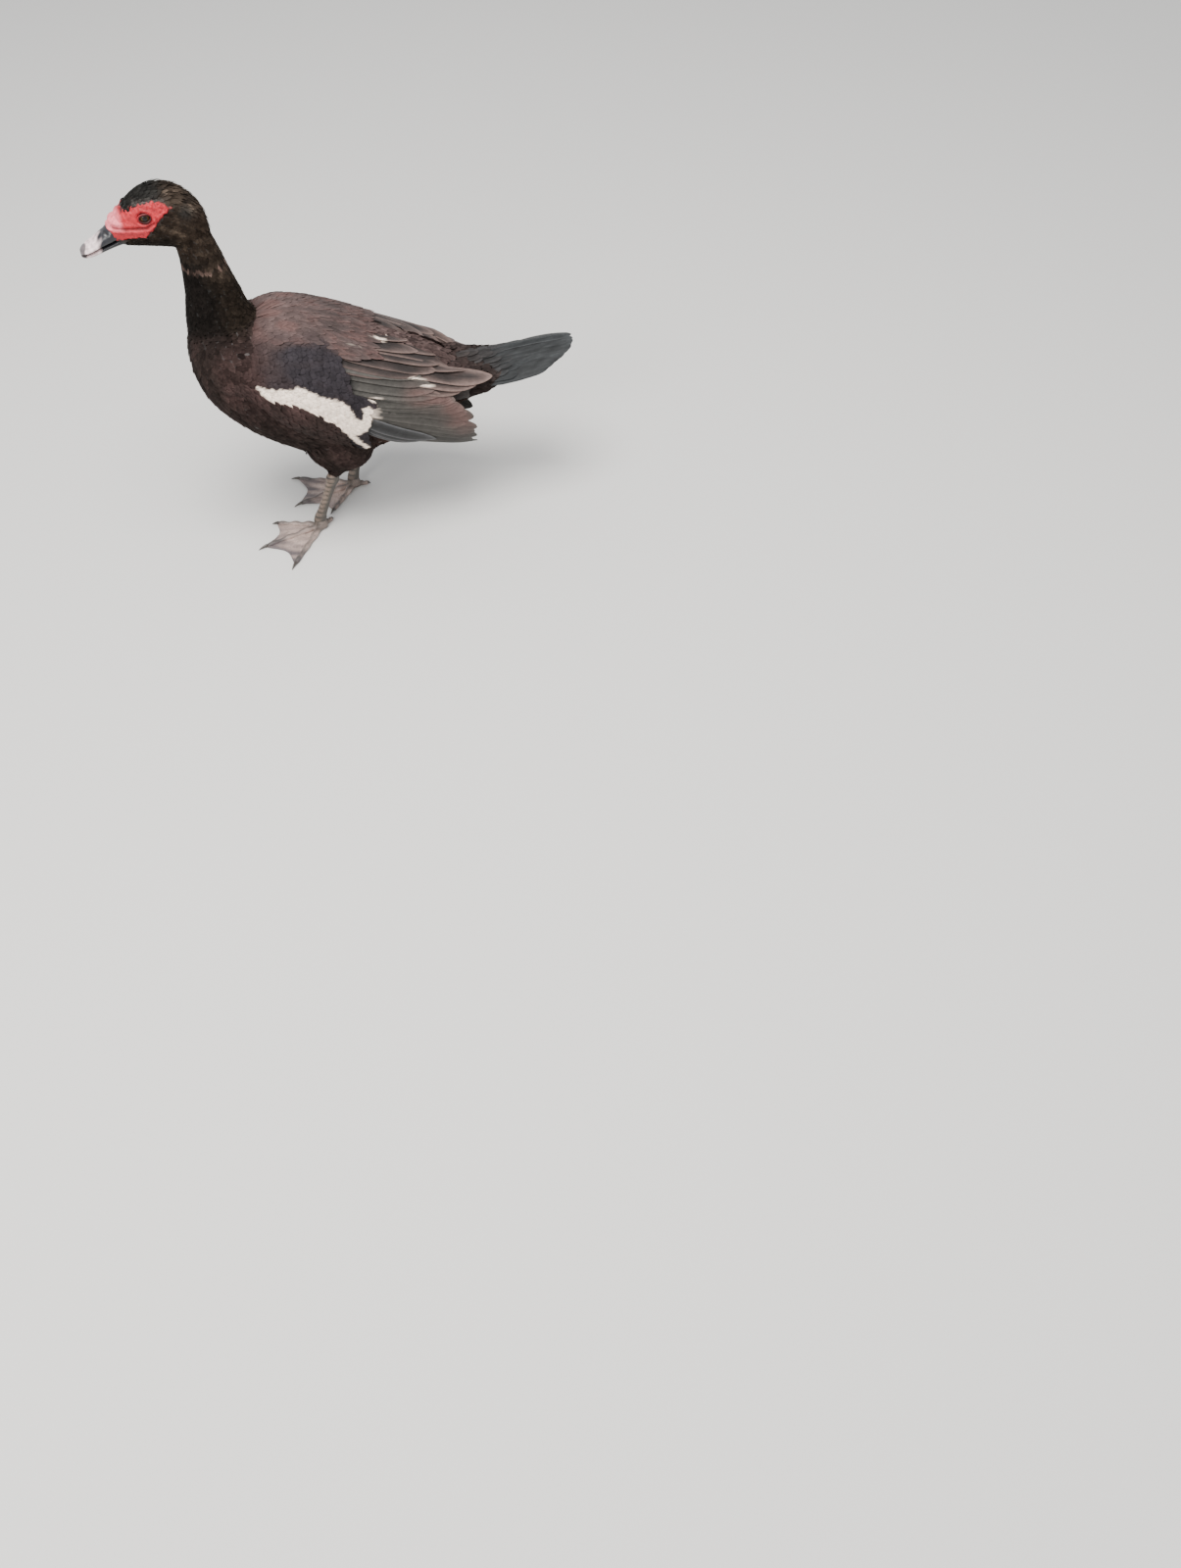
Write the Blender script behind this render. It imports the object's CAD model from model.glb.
"""Looks for the muscovy duck: skin, feathers, face, bill, eyes, legs, and the studio.

Design sizes are millimetres in the duck's own frame, as in the solids: the duck faces -X, its left
side is towards -Y, z = 0 is the ground. place() turns them into metres in the row frame.
"""

import itertools
import math

import bmesh
import bpy
import numpy as np
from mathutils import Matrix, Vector
from mathutils.bvhtree import BVHTree


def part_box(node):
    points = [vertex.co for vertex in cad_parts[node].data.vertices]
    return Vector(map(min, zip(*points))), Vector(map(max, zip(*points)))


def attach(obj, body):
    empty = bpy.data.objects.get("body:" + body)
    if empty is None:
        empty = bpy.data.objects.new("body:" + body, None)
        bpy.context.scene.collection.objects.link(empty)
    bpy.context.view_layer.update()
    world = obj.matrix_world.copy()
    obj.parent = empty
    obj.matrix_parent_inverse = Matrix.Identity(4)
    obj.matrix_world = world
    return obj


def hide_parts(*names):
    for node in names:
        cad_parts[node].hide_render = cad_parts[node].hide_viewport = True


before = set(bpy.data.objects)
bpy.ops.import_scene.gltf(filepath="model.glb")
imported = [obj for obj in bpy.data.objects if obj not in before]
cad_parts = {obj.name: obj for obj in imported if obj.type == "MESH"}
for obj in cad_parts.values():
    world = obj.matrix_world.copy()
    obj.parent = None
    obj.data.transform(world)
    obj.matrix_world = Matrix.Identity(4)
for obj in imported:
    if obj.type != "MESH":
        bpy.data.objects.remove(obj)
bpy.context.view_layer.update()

MM = 0.001
LEFT = -1
RIGHT = 1
SQUARENESS = 2.25
HEAD_YAW = math.radians(10)
HEAD_PIVOT = np.array([-74.0, 0.0, 372.0])

# Torso and head sections: place along X, top, middle, bottom, half width
TORSO = [
    [-103, 244, 231, 216, 12],
    [-100, 256, 230, 202, 28],
    [-92, 270, 226, 182, 45],
    [-76, 279, 220, 161, 60],
    [-50, 280, 211, 138, 73],
    [-20, 274, 203, 118, 81],
    [20, 265.5, 195, 99, 84],
    [60, 250, 188, 94, 81],
    [100, 229, 182, 101, 72],
    [140, 211, 178, 122, 61],
    [178, 199.5, 175, 138, 51],
    [206, 194, 174, 147, 46],
]
HEAD = [
    [-147, 391, 383, 375, 8],
    [-143, 396, 385, 371, 11.5],
    [-134, 404, 388, 368, 15],
    [-122, 415, 391, 366, 19],
    [-107, 423, 392, 363, 22.5],
    [-90, 424, 391, 359, 24],
    [-74, 419, 388, 354, 24],
    [-62, 409, 384, 352, 21],
    [-54, 397, 380, 354, 15],
    [-50, 385, 376, 365, 7],
]
# Neck: place along X, height, half depth, half width
NECK = [
    [-50, 215, 56, 50],
    [-57, 248, 46, 42],
    [-61, 276, 37.5, 35],
    [-61.5, 298, 32, 30],
    [-63, 318, 27.5, 26.5],
    [-64.5, 338, 24, 24.5],
    [-66.8, 356, 21.7, 22.5],
    [-70, 374, 19, 20],
    [-74, 390, 16, 16],
]
# Rump and tail base: place along X, top, middle, bottom, half width
TAIL_BASE = [
    [196, 195, 172, 147, 46],
    [220, 191, 171, 154, 43],
    [240, 189, 175, 166, 37],
    [258, 187, 180, 176, 30],
]
# Bill: place along X, top, mouth line, bottom, half width
BILL = [
    [-136, 396, 380, 371, 10.5],
    [-146, 392.5, 377, 370, 11.5],
    [-155, 387, 374.5, 368, 11.5],
    [-164, 381, 372, 366, 12.2],
    [-172, 376.5, 369.5, 364.5, 12],
    [-178, 373, 368, 364.5, 9.5],
    [-181, 370, 367, 365, 5],
]
BILL_SLOPE = math.radians(28)
# Nostril: place along X, height
NOSTRIL = (-151.5, 386.5)
# Outer face of the folded wing: place along X, top, middle, bottom, half width
WING = [
    [-45, 272, 214, 150, 80],
    [-20, 278, 208, 130, 88],
    [10, 278, 201, 112, 93],
    [50, 267, 193, 100, 94],
    [100, 245, 184, 98, 89],
    [150, 223, 176, 95, 79],
    [195, 205, 168, 87, 71],
    [240, 198, 162, 84, 62],
]
# Body of the folded wing: place, upper and lower edge in degrees, depth below the face
WING_CORE = [
    [-44, 40, 28, 7.6],
    [-38, 52, 18, 6.6],
    [-22, 64, 10, 6.2],
    [5, 71, 4, 6.4],
    [38, 71, -6, 7],
    [58, 68, -14, 10.4],
    [80, 66, -22, 11.5],
    [104, 62, -22, 12.5],
]
WING_CORE_ROOT = 24
# Mantle between the folded wings: place along X, and how far its crown lies under the wings' face
MANTLE = [
    [-24, 9],
    [-8, 4],
    [20, 1.6],
    [60, 1.4],
    [110, 1.4],
    [150, 2.5],
    [178, 6],
    [196, 12],
]
# Degrees from the middle of the back, and depth under the crown
MANTLE_SECTION = [(-24, 24), (-12, 1.4), (-5, 0), (5, 0), (12, 1.4), (24, 24)]
MANTLE_ROOT = 34

# Edge of the cubes in which overlapping parts are fused, and the thickness of thin sheets
SKIN_VOXEL = 2.4
TOE_VOXEL = 0.9
LID_THICKNESS = 0.5
WEB_THICKNESS = 0.9
# Side of a feather's patch on the bake map
BAKE_PATCH = 0.003

# Depth of the coat over the skin
BODY_COAT = 2.4
NECK_COAT = 1.8
HEAD_COAT = 1.0

# Legs
HOCK = np.array([29.0, -44.0, 78.0])
ANKLE = np.array([2.0, -39.0, 13.0])
THIGH_TOP = np.array([50.0, -50.0, 150.0])
RIGHT_THIGH_SHIFT = 12
STEP_BACK = 48
STEP_OUT = -2
RIGHT_HOCK_LEAN = 4
# Share of the way down, half depth, half width
THIGH = [
    [0, 36, 24],
    [0.2, 41, 27],
    [0.44, 42, 28],
    [0.58, 37, 25],
    [0.7, 26.5, 19.5],
    [0.8, 16.5, 13.5],
    [0.9, 11, 10],
    [1, 7.2, 6.7],
]
SHIN = [
    [-0.08, 6.2, 5.6],
    [0.02, 7.6, 6.8],
    [0.08, 7.9, 7.0],
    [0.2, 6.2, 5.3],
    [0.5, 5.6, 4.7],
    [0.8, 5.9, 5.0],
    [0.94, 7.2, 6.4],
    [1.06, 6.6, 6.6],
]
MIDDLE_TOE = 85
OUTER_TOE = 86
INNER_TOE = 64
HIND_TOE = 21
OUTER_ANGLE = math.radians(41)
INNER_ANGLE = math.radians(37)
HIND_TOE_ANGLE = -0.35
FOOT_TURN = math.radians(20)
WEB_BAY = 0.15

# Eye, and the edge of the bare face as (place along X, height) on the side of the head
EYE_RADIUS = 6.4
EYE_PLACE = np.array([-110.5, 15.6, 400.0])
FACE_EDGE = [
    (-143, 379), (-143, 388), (-143, 396), (-131, 404.5), (-120.6, 409.7), (-108.9, 412.7),
    (-101.9, 413.9), (-94.3, 413.5), (-88, 410), (-82.6, 405.6), (-88.3, 402.6), (-94.3, 399),
    (-100.7, 393.5), (-106.9, 387.2), (-113.7, 380.6), (-124.8, 381), (-136.6, 379.5),
]
FOREHEAD_EDGE = -130.5
CREASE = [(-143, 391.5), (-134, 390.8), (-122, 390.6), (-111, 391.2), (-103, 395)]

# Camera
CAMERA_PLACE = np.array([79.09, -1311.06, 1000.0])
CAMERA_PITCH = math.radians(39)
CAMERA_TURN = math.radians(-12)
CAMERA_LENS = 28.125


def place_shift():
    """How far the row frame's origin is from the duck's own, from the centre of one eye."""
    low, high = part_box("eye_left")
    centre = np.array((low + high) / 2) / MM
    return centre - turn_head(np.array([[EYE_PLACE[0], -EYE_PLACE[1], EYE_PLACE[2]]]))[0]


def turn_head(points, angle=HEAD_YAW):
    """Points of the head that looks straight ahead, turned to the duck's left."""
    out = np.array(points, float)
    x = out[:, 0] - HEAD_PIVOT[0]
    y = out[:, 1] - HEAD_PIVOT[1]
    out[:, 0] = HEAD_PIVOT[0] + x * math.cos(angle) - y * math.sin(angle)
    out[:, 1] = HEAD_PIVOT[1] + x * math.sin(angle) + y * math.cos(angle)
    return out


SHIFT = place_shift()


def place(points):
    """Duck frame in millimetres to row frame in metres."""
    return (np.asarray(points, float) + SHIFT) * MM


def smoothstep(low, high, value):
    t = np.clip((np.asarray(value, float) - low) / (high - low), 0, 1)
    return t * t * (3 - 2 * t)


def smooth_rows(rows, per_span):
    """Values between the rows of a table, on a smooth curve through them."""
    table = np.array(rows, float)
    result = []
    for i in range(len(table) - 1):
        before = table[max(i - 1, 0)]
        after = table[min(i + 2, len(table) - 1)]
        here, there = table[i], table[i + 1]
        slope_in, slope_out = (there - before) / 2, (after - here) / 2
        for step in range(per_span):
            t = step / per_span
            a = 2 * here - 2 * there + slope_in + slope_out
            b = -3 * here + 3 * there - 2 * slope_in - slope_out
            result.append(((a * t + b) * t + slope_in) * t + here)
    result.append(table[-1])
    return np.array(result)


def rows_at(rows, x):
    """Rows of a table at places along X."""
    x = np.asarray(x, float)
    table = np.asarray(rows, float)
    return [np.interp(x, table[:, 0], table[:, k]) for k in range(1, table.shape[1])]


def side_name(side):
    return "left" if side == LEFT else "right"


def round_angles(count):
    return np.arange(count) / count * 2 * math.pi


def square_reach(angle):
    c = np.abs(np.cos(angle)) ** SQUARENESS
    s = np.abs(np.sin(angle)) ** SQUARENESS
    return (c + s) ** (-1 / SQUARENESS)


def section_ring(row, count, grow=0.0):
    """Ring of a body section in the YZ plane, squarer than an ellipse."""
    x, top, middle, bottom, half_width = row
    angle = round_angles(count)
    reach = square_reach(angle)
    across = np.cos(angle) * reach
    up = np.sin(angle) * reach
    rise = np.where(up > 0, top - middle + grow, middle - bottom + grow)
    return np.stack([np.full(count, x), across * (half_width + grow), middle + up * rise], 1)


def loft_faces(rings, count):
    faces = []
    for row in range(rings - 1):
        for i in range(count):
            j = (i + 1) % count
            faces.append((row * count + i, row * count + j, (row + 1) * count + j, (row + 1) * count + i))
    faces.append(tuple(range(count - 1, -1, -1)))
    faces.append(tuple((rings - 1) * count + i for i in range(count)))
    return faces


def join_lofts(parts):
    """Points and faces of several closed lofts in one mesh."""
    points, faces = [], []
    start = 0
    for rings in parts:
        count = rings.shape[1]
        faces += [tuple(start + i for i in face) for face in loft_faces(len(rings), count)]
        points.append(rings.reshape(-1, 3))
        start += len(rings) * count
    return np.concatenate(points), faces


def body_loft(rows, per_span, count, grow):
    table = smooth_rows(rows, per_span)
    table[0][0] -= grow
    table[-1][0] += grow
    return np.array([section_ring(row, count, grow) for row in table])


def tube_rings(centres, depths, widths, count, sideways=(0, 1, 0)):
    """Rings of a tube along a path, with half depth and half width at each centre."""
    centres = np.asarray(centres, float)
    rings = []
    for i, centre in enumerate(centres):
        along = centres[min(i + 1, len(centres) - 1)] - centres[max(i - 1, 0)]
        along /= np.linalg.norm(along)
        side = np.array(sideways, float)
        side -= along * side.dot(along)
        side /= np.linalg.norm(side)
        front = np.cross(along, side)
        angle = round_angles(count)
        ring = centre + np.outer(np.cos(angle) * widths[i], side) + np.outer(np.sin(angle) * depths[i], front)
        rings.append(ring)
    return np.array(rings)


def new_object(name, points, faces, material=None, smooth=True):
    """Mesh object from points in the duck frame."""
    mesh = bpy.data.meshes.new(name)
    mesh.from_pydata([tuple(p) for p in place(points)], [], faces)
    mesh.polygons.foreach_set("use_smooth", [smooth] * len(mesh.polygons))
    mesh.update()
    piece = bpy.data.objects.new(name, mesh)
    bpy.context.scene.collection.objects.link(piece)
    if material:
        mesh.materials.append(material)
    return piece


def set_colours(mesh, colours, name="coat"):
    """Colour of each point, linear RGB."""
    layer = mesh.color_attributes.new(name, "FLOAT_COLOR", "POINT")
    values = np.ones((len(mesh.vertices), 4), np.float32)
    values[:, :3] = colours
    layer.data.foreach_set("color", values.ravel())


def set_values(mesh, values, name):
    layer = mesh.attributes.new(name, "FLOAT", "POINT")
    layer.data.foreach_set("value", np.asarray(values, np.float32))


def set_uv(mesh, per_point, name):
    """UV map from one UV for each point."""
    layer = mesh.uv_layers.new(name=name)
    loops = np.zeros(len(mesh.loops), np.int64)
    mesh.loops.foreach_get("vertex_index", loops)
    layer.data.foreach_set("uv", np.asarray(per_point, np.float32)[loops].ravel())


def apply_modifiers(piece):
    graph = bpy.context.evaluated_depsgraph_get()
    mesh = bpy.data.meshes.new_from_object(piece.evaluated_get(graph))
    old = piece.data
    piece.modifiers.clear()
    piece.data = mesh
    bpy.data.meshes.remove(old)


def thicken(piece, thickness):
    """Gives a sheet its thickness, inwards."""
    solidify = piece.modifiers.new("thickness", "SOLIDIFY")
    solidify.thickness = thickness * MM
    solidify.offset = -1.0
    apply_modifiers(piece)


def fuse_parts(piece, voxel, smoothing):
    """Makes one closed skin of parts that overlap, and softens it."""
    remesh = piece.modifiers.new("fuse", "REMESH")
    remesh.mode = "VOXEL"
    remesh.voxel_size = voxel * MM
    remesh.use_smooth_shade = True
    soften = piece.modifiers.new("soften", "SMOOTH")
    soften.iterations = smoothing
    apply_modifiers(piece)


def mesh_points(mesh):
    flat = np.zeros(len(mesh.vertices) * 3, np.float32)
    mesh.vertices.foreach_get("co", flat)
    return flat.reshape(-1, 3).astype(float) / MM - SHIFT


def mesh_normals(mesh):
    flat = np.zeros(len(mesh.vertices) * 3, np.float32)
    mesh.vertices.foreach_get("normal", flat)
    return flat.reshape(-1, 3).astype(float)


def move_points(mesh, points):
    mesh.vertices.foreach_set("co", place(points).astype(np.float32).ravel())
    mesh.update()


def leg_point(point, side):
    if side == LEFT:
        return point.copy()
    return np.array([point[0] + STEP_BACK, STEP_OUT - point[1], point[2]])


def hock_point(side):
    hock = leg_point(HOCK, side)
    hock[0] -= RIGHT_HOCK_LEAN if side == RIGHT else 0
    return hock


def thigh_top(side):
    shift = RIGHT_THIGH_SHIFT if side == RIGHT else 0
    return np.array([THIGH_TOP[0] + shift, -THIGH_TOP[1] * side, THIGH_TOP[2]])


def limb_rings(sections, start, end, count, grow=0.0):
    table = smooth_rows(sections, 4)
    centres = start + np.outer(table[:, 0], end - start)
    return tube_rings(centres, table[:, 1] + grow, table[:, 2] + grow, count)


# Body faces as functions of place

WING_FACE = smooth_rows(WING, 4)


def face_points(rows, x, degrees, lift):
    """Points on a body face: place along X, degrees round from the right side over the top, lift."""
    angle = np.radians(degrees)
    top, middle, bottom, half_width = rows_at(rows, x)
    reach = square_reach(angle)
    up = np.sin(angle) * reach
    rise = np.where(up > 0, top - middle, middle - bottom) + lift
    across = np.cos(angle) * reach * (half_width + lift)
    return np.stack([np.asarray(x, float), across, middle + up * rise], -1)


def wing_face(side):
    def face(x, degrees, lift):
        turned = degrees if side == RIGHT else 180 - np.asarray(degrees, float)
        return face_points(WING_FACE, x, turned, lift)
    return face


def wing_place(points, side):
    """Place along X and degrees up from the side, of points near the wing's face."""
    x = points[:, 0]
    top, middle, bottom, half_width = rows_at(WING_FACE, x)
    up = points[:, 2] - middle
    rise = np.where(up > 0, top - middle, middle - bottom)
    return x, np.degrees(np.arctan2(up / rise, points[:, 1] * side / half_width))


# Marks of the face and coat

def polygon_distance(points, polygon):
    """Distance inside a closed outline, negative outside."""
    points = np.asarray(points, float)
    corners = np.array(polygon, float)
    nearest = np.full(len(points), 1e9)
    inside = np.zeros(len(points), bool)
    for a, b in zip(corners, np.roll(corners, -1, 0)):
        nearest = np.minimum(nearest, segment_distance(points, a, b))
        crosses = (a[1] > points[:, 1]) != (b[1] > points[:, 1])
        slope = (b[0] - a[0]) / (b[1] - a[1]) if b[1] != a[1] else 0
        inside ^= crosses & (points[:, 0] < a[0] + (points[:, 1] - a[1]) * slope)
    return np.where(inside, nearest, -nearest)


def segment_distance(points, a, b):
    span = b - a
    t = np.clip(((points - a) @ span) / span.dot(span), 0, 1)
    return np.linalg.norm(points - (a + t[:, None] * span), axis=1)


def line_distance(points, line):
    corners = np.array(line, float)
    distances = [segment_distance(points, a, b) for a, b in zip(corners[:-1], corners[1:])]
    return np.min(distances, axis=0)


def bare_depth(local):
    """How far inside the bare face points of the unturned head are."""
    side = polygon_distance(local[:, [0, 2]], FACE_EDGE)
    forehead = np.minimum(FOREHEAD_EDGE - local[:, 0], local[:, 2] - 381)
    return np.maximum(side, forehead)


def face_side(local):
    """True where the bare face can be: over the jaw and in front of the ear."""
    return (local[:, 2] > 366) & (local[:, 0] < -76)


def eye_distance(local, stretch=(1, 1)):
    """Distance from the eye's middle, seen from the side, over a stretch along X and Z."""
    return np.linalg.norm((local - EYE_PLACE * [1, 0, 1])[:, [0, 2]] / stretch, axis=1)


def noise(points, scale, seed=0):
    """Smooth noise from a few summed waves, about -1 to 1."""
    random = np.random.default_rng(seed)
    total = np.zeros(len(points))
    for _ in range(6):
        direction = random.normal(size=3)
        direction /= np.linalg.norm(direction)
        stretch = random.uniform(0.7, 1.4)
        phase = random.uniform(0, 6.3)
        total += np.sin(points @ direction * (2 * math.pi / scale) * stretch + phase)
    return total / 3


# Linear colours of the coat
BLACK = np.array([0.0135, 0.0132, 0.0122])
NECK_BLACK = np.array([0.0057, 0.0048, 0.0041])
NECK_BROWN = np.array([0.0205, 0.0150, 0.0106])
NAPE_BROWN = np.array([0.052, 0.038, 0.028])
COLLAR = np.array([0.110, 0.072, 0.060])
CHEEK = np.array([0.022, 0.0155, 0.0115])
BROW = np.array([0.085, 0.074, 0.068])
BREAST = np.array([0.0212, 0.0152, 0.0135])
BREAST_RED = np.array([0.034, 0.0205, 0.0190])
BACK_BROWN = np.array([0.094, 0.064, 0.060])
BACK_RED = np.array([0.098, 0.058, 0.053])
SCAPULAR_DARK = np.array([0.032, 0.027, 0.026])
FLANK_RED = np.array([0.060, 0.026, 0.018])
COVERT = np.array([0.0225, 0.0195, 0.0225])
COVERT_BROWN = np.array([0.034, 0.0235, 0.0230])
GREY_GREEN = np.array([0.058, 0.054, 0.049])
SECONDARY_DARK = np.array([0.021, 0.0205, 0.0195])
BLUE_GREY = np.array([0.028, 0.028, 0.029])
TERTIAL = np.array([0.125, 0.087, 0.077])
TERTIAL_DARK = np.array([0.028, 0.023, 0.022])
RUSSET = np.array([0.100, 0.060, 0.054])
WHITE = np.array([0.97, 0.81, 0.68])
TAIL_BLUE = np.array([0.022, 0.0235, 0.0245])
TAIL_BROWN = np.array([0.026, 0.020, 0.0185])
UNDERTAIL = np.array([0.026, 0.018, 0.016])
RED = np.array([0.50, 0.024, 0.034])
PINK = np.array([0.88, 0.22, 0.26])
DARK_RED = np.array([0.24, 0.012, 0.016])


def mix(a, b, share):
    share = np.asarray(share, float)
    if share.ndim == 0:
        return a + (b - a) * share
    return a + (b - a) * share[:, None]


def body_colours(points):
    """Colour of the body's coat at points in the duck frame."""
    x, _, z = points.T
    local = turn_head(points, -HEAD_YAW)
    mottle = noise(points, 34, 3)
    fine = noise(points, 9, 4)
    colour = np.tile(BREAST, (len(points), 1))
    shoulder = smoothstep(150, 235, z) * smoothstep(-88, -45, x)
    red = np.clip(smoothstep(-0.3, 0.9, mottle) * 0.45 + shoulder * 0.7, 0, 1)
    colour = mix(colour, BREAST_RED, red)
    back = smoothstep(244, 268, z) * smoothstep(-48, -20, x) + smoothstep(40, 80, x) * smoothstep(185, 205, z)
    colour = mix(colour, BACK_BROWN * 0.8, np.clip(back, 0, 1) * 0.9)
    flank = smoothstep(64, 110, x) * (1 - smoothstep(140, 165, z))
    colour = mix(colour, FLANK_RED, flank * 0.7)
    rump = smoothstep(160, 200, x) * smoothstep(160, 180, z)
    colour = mix(colour, TAIL_BROWN, rump * 0.8)
    neck = smoothstep(250, 285, z) * (x < -20)
    colour = mix(colour, NECK_BLACK, neck * 0.95)
    behind = smoothstep(-66, -45, x) * smoothstep(262, 285, z) * (x < -20)
    colour = mix(colour, NECK_BROWN, behind * 0.6)
    above = z - 341 + (x + 67) * 0.06 - 1.5 * noise(points, 18, 5)
    collar = np.exp(-((above / 2.0) ** 2)) * (x < -30) * smoothstep(-96, -80, x)
    shawl = smoothstep(-22, -4, above) * smoothstep(14, 2, above) * smoothstep(-72, -52, x) * (x < -30)
    colour = mix(colour, NAPE_BROWN * 0.8, np.clip(shawl * (0.7 + 0.4 * fine), 0, 1))
    colour = mix(colour, COLLAR, np.clip(collar * (0.5 + 0.5 * fine), 0, 1))
    colour = mix(colour, head_colours(local), smoothstep(346, 360, z))
    return np.clip(colour * (1 + 0.22 * fine[:, None] + 0.12 * mottle[:, None]), 0.002, 1)


# Pale specks behind the face: place along X, height, size
HEAD_SPECKS = [
    (-91, 384.5, 2.0), (-80, 378.5, 2.2), (-86, 382.5, 1.4), (-67, 405.6, 1.6), (-92, 417.5, 1.8),
]


def head_colours(local):
    """Black cap, brown nape and cheek with pale specks."""
    x, _, z = local.T
    cap_edge = 403 + (x + 110) * 0.16 + 2 * noise(local, 14, 8)
    cap = smoothstep(-3, 4, z - cap_edge) * (1 - smoothstep(-104, -84, x) * 0.85)
    cheek = mix(CHEEK, NAPE_BROWN, smoothstep(-0.3, 0.9, noise(local, 15, 9)) * 0.6)
    temple = np.exp(-(((x + 82) / 9) ** 2) - (((z - 413) / 6) ** 2))
    cheek = mix(cheek, NAPE_BROWN, np.clip(temple, 0, 1) * 0.7)
    behind_eye = np.exp(-(((x + 72) / 7) ** 2) - (((z - 402) / 7) ** 2))
    cheek = mix(cheek, BLACK * 2, behind_eye * 0.8)
    jaw = smoothstep(382, 374, z) * smoothstep(-84, -96, x)
    cheek = mix(cheek, NECK_BLACK * 1.6, jaw * 0.8)
    speck = np.zeros(len(local))
    for spot_x, spot_z, size in HEAD_SPECKS:
        speck = np.maximum(speck, np.exp(-((x - spot_x) / size / 1.6) ** 2 - ((z - spot_z) / size) ** 2))
    cheek = mix(cheek, NAPE_BROWN * 3, np.clip(speck, 0, 1) * 0.6)
    brow = np.exp(-((z - 412.5 - (x + 105) * 0.10) / 1.8) ** 2)
    brow = brow * smoothstep(-124, -117, x) * smoothstep(-88, -95, x)
    return mix(mix(cheek, BLACK, cap), BROW, np.clip(brow, 0, 1) * 0.75)


def skin_colours(local):
    """Bare skin of the face: red, pink in front, with darker folds."""
    x, _, z = local.T
    red = mix(RED, DARK_RED, 0.15 + 0.2 * noise(local, 7, 12))
    pale = smoothstep(-131, -138, x) * smoothstep(387, 392, z)
    red = mix(red, PINK, np.clip(pale, 0, 1) * 0.95)
    crease = line_distance(local[:, [0, 2]], CREASE)
    red = mix(red, PINK * [1.0, 0.7, 0.7], np.exp(-((crease - 2.2) / 1.2) ** 2) * (z < 391) * 0.12)
    red = mix(red, DARK_RED * 0.6, np.exp(-(crease / 0.9) ** 2) * 0.7)
    eye = eye_distance(local, (1.25, 1))
    return mix(red, DARK_RED * 0.2, (1 - smoothstep(4.6, 6.2, eye)) * 0.9)


# Materials

def node_material(name):
    material = bpy.data.materials.new(name)
    material.use_nodes = True
    nodes = material.node_tree.nodes
    return material, nodes, material.node_tree.links, nodes["Principled BSDF"]


def add_node(nodes, kind, **inputs):
    node = nodes.new(kind)
    for key, value in inputs.items():
        node.inputs[key].default_value = value
    return node


def mix_colour(nodes, links, blend, factor, first, second):
    """Mix node; factor, first and second are sockets or plain values."""
    node = nodes.new("ShaderNodeMix")
    node.data_type = "RGBA"
    node.blend_type = blend
    for index, value in ((0, factor), (6, first), (7, second)):
        if isinstance(value, bpy.types.NodeSocket):
            links.new(value, node.inputs[index])
        else:
            node.inputs[index].default_value = value
    return node.outputs[2]


def math_node(nodes, links, operation, first, second=0.0):
    node = nodes.new("ShaderNodeMath")
    node.operation = operation
    for index, value in ((0, first), (1, second)):
        if isinstance(value, bpy.types.NodeSocket):
            links.new(value, node.inputs[index])
        else:
            node.inputs[index].default_value = value
    return node.outputs[0]


def coat_socket(nodes, name="coat"):
    node = nodes.new("ShaderNodeAttribute")
    node.attribute_name = name
    return node


def value_range(nodes, links, value, source, target):
    """Map Range node from one pair of limits to another."""
    node = nodes.new("ShaderNodeMapRange")
    node.inputs["From Min"].default_value, node.inputs["From Max"].default_value = source
    node.inputs["To Min"].default_value, node.inputs["To Max"].default_value = target
    links.new(value, node.inputs["Value"])
    return node.outputs[0]


def scaled_colour(nodes, links, colour, factor):
    """Colour times a factor."""
    node = nodes.new("ShaderNodeVectorMath")
    node.operation = "SCALE"
    links.new(colour, node.inputs[0])
    links.new(factor, node.inputs["Scale"])
    return node.outputs[0]


def object_noise(nodes, links, scale, detail, stretch=(1.0, 1.0, 1.0)):
    """Noise fixed to the object, drawn out along an axis where the stretch is under 1."""
    where = nodes.new("ShaderNodeTexCoord")
    mapping = add_node(nodes, "ShaderNodeMapping", Scale=stretch)
    links.new(where.outputs["Object"], mapping.inputs["Vector"])
    texture = add_node(nodes, "ShaderNodeTexNoise", Scale=scale, Detail=detail)
    links.new(mapping.outputs[0], texture.inputs["Vector"])
    return texture.outputs["Fac"]


def bump(nodes, links, shader, height, strength, distance, invert=False):
    relief = add_node(nodes, "ShaderNodeBump", Strength=strength, Distance=distance)
    relief.invert = invert
    links.new(height, relief.inputs["Height"])
    links.new(relief.outputs[0], shader.inputs["Normal"])


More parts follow.
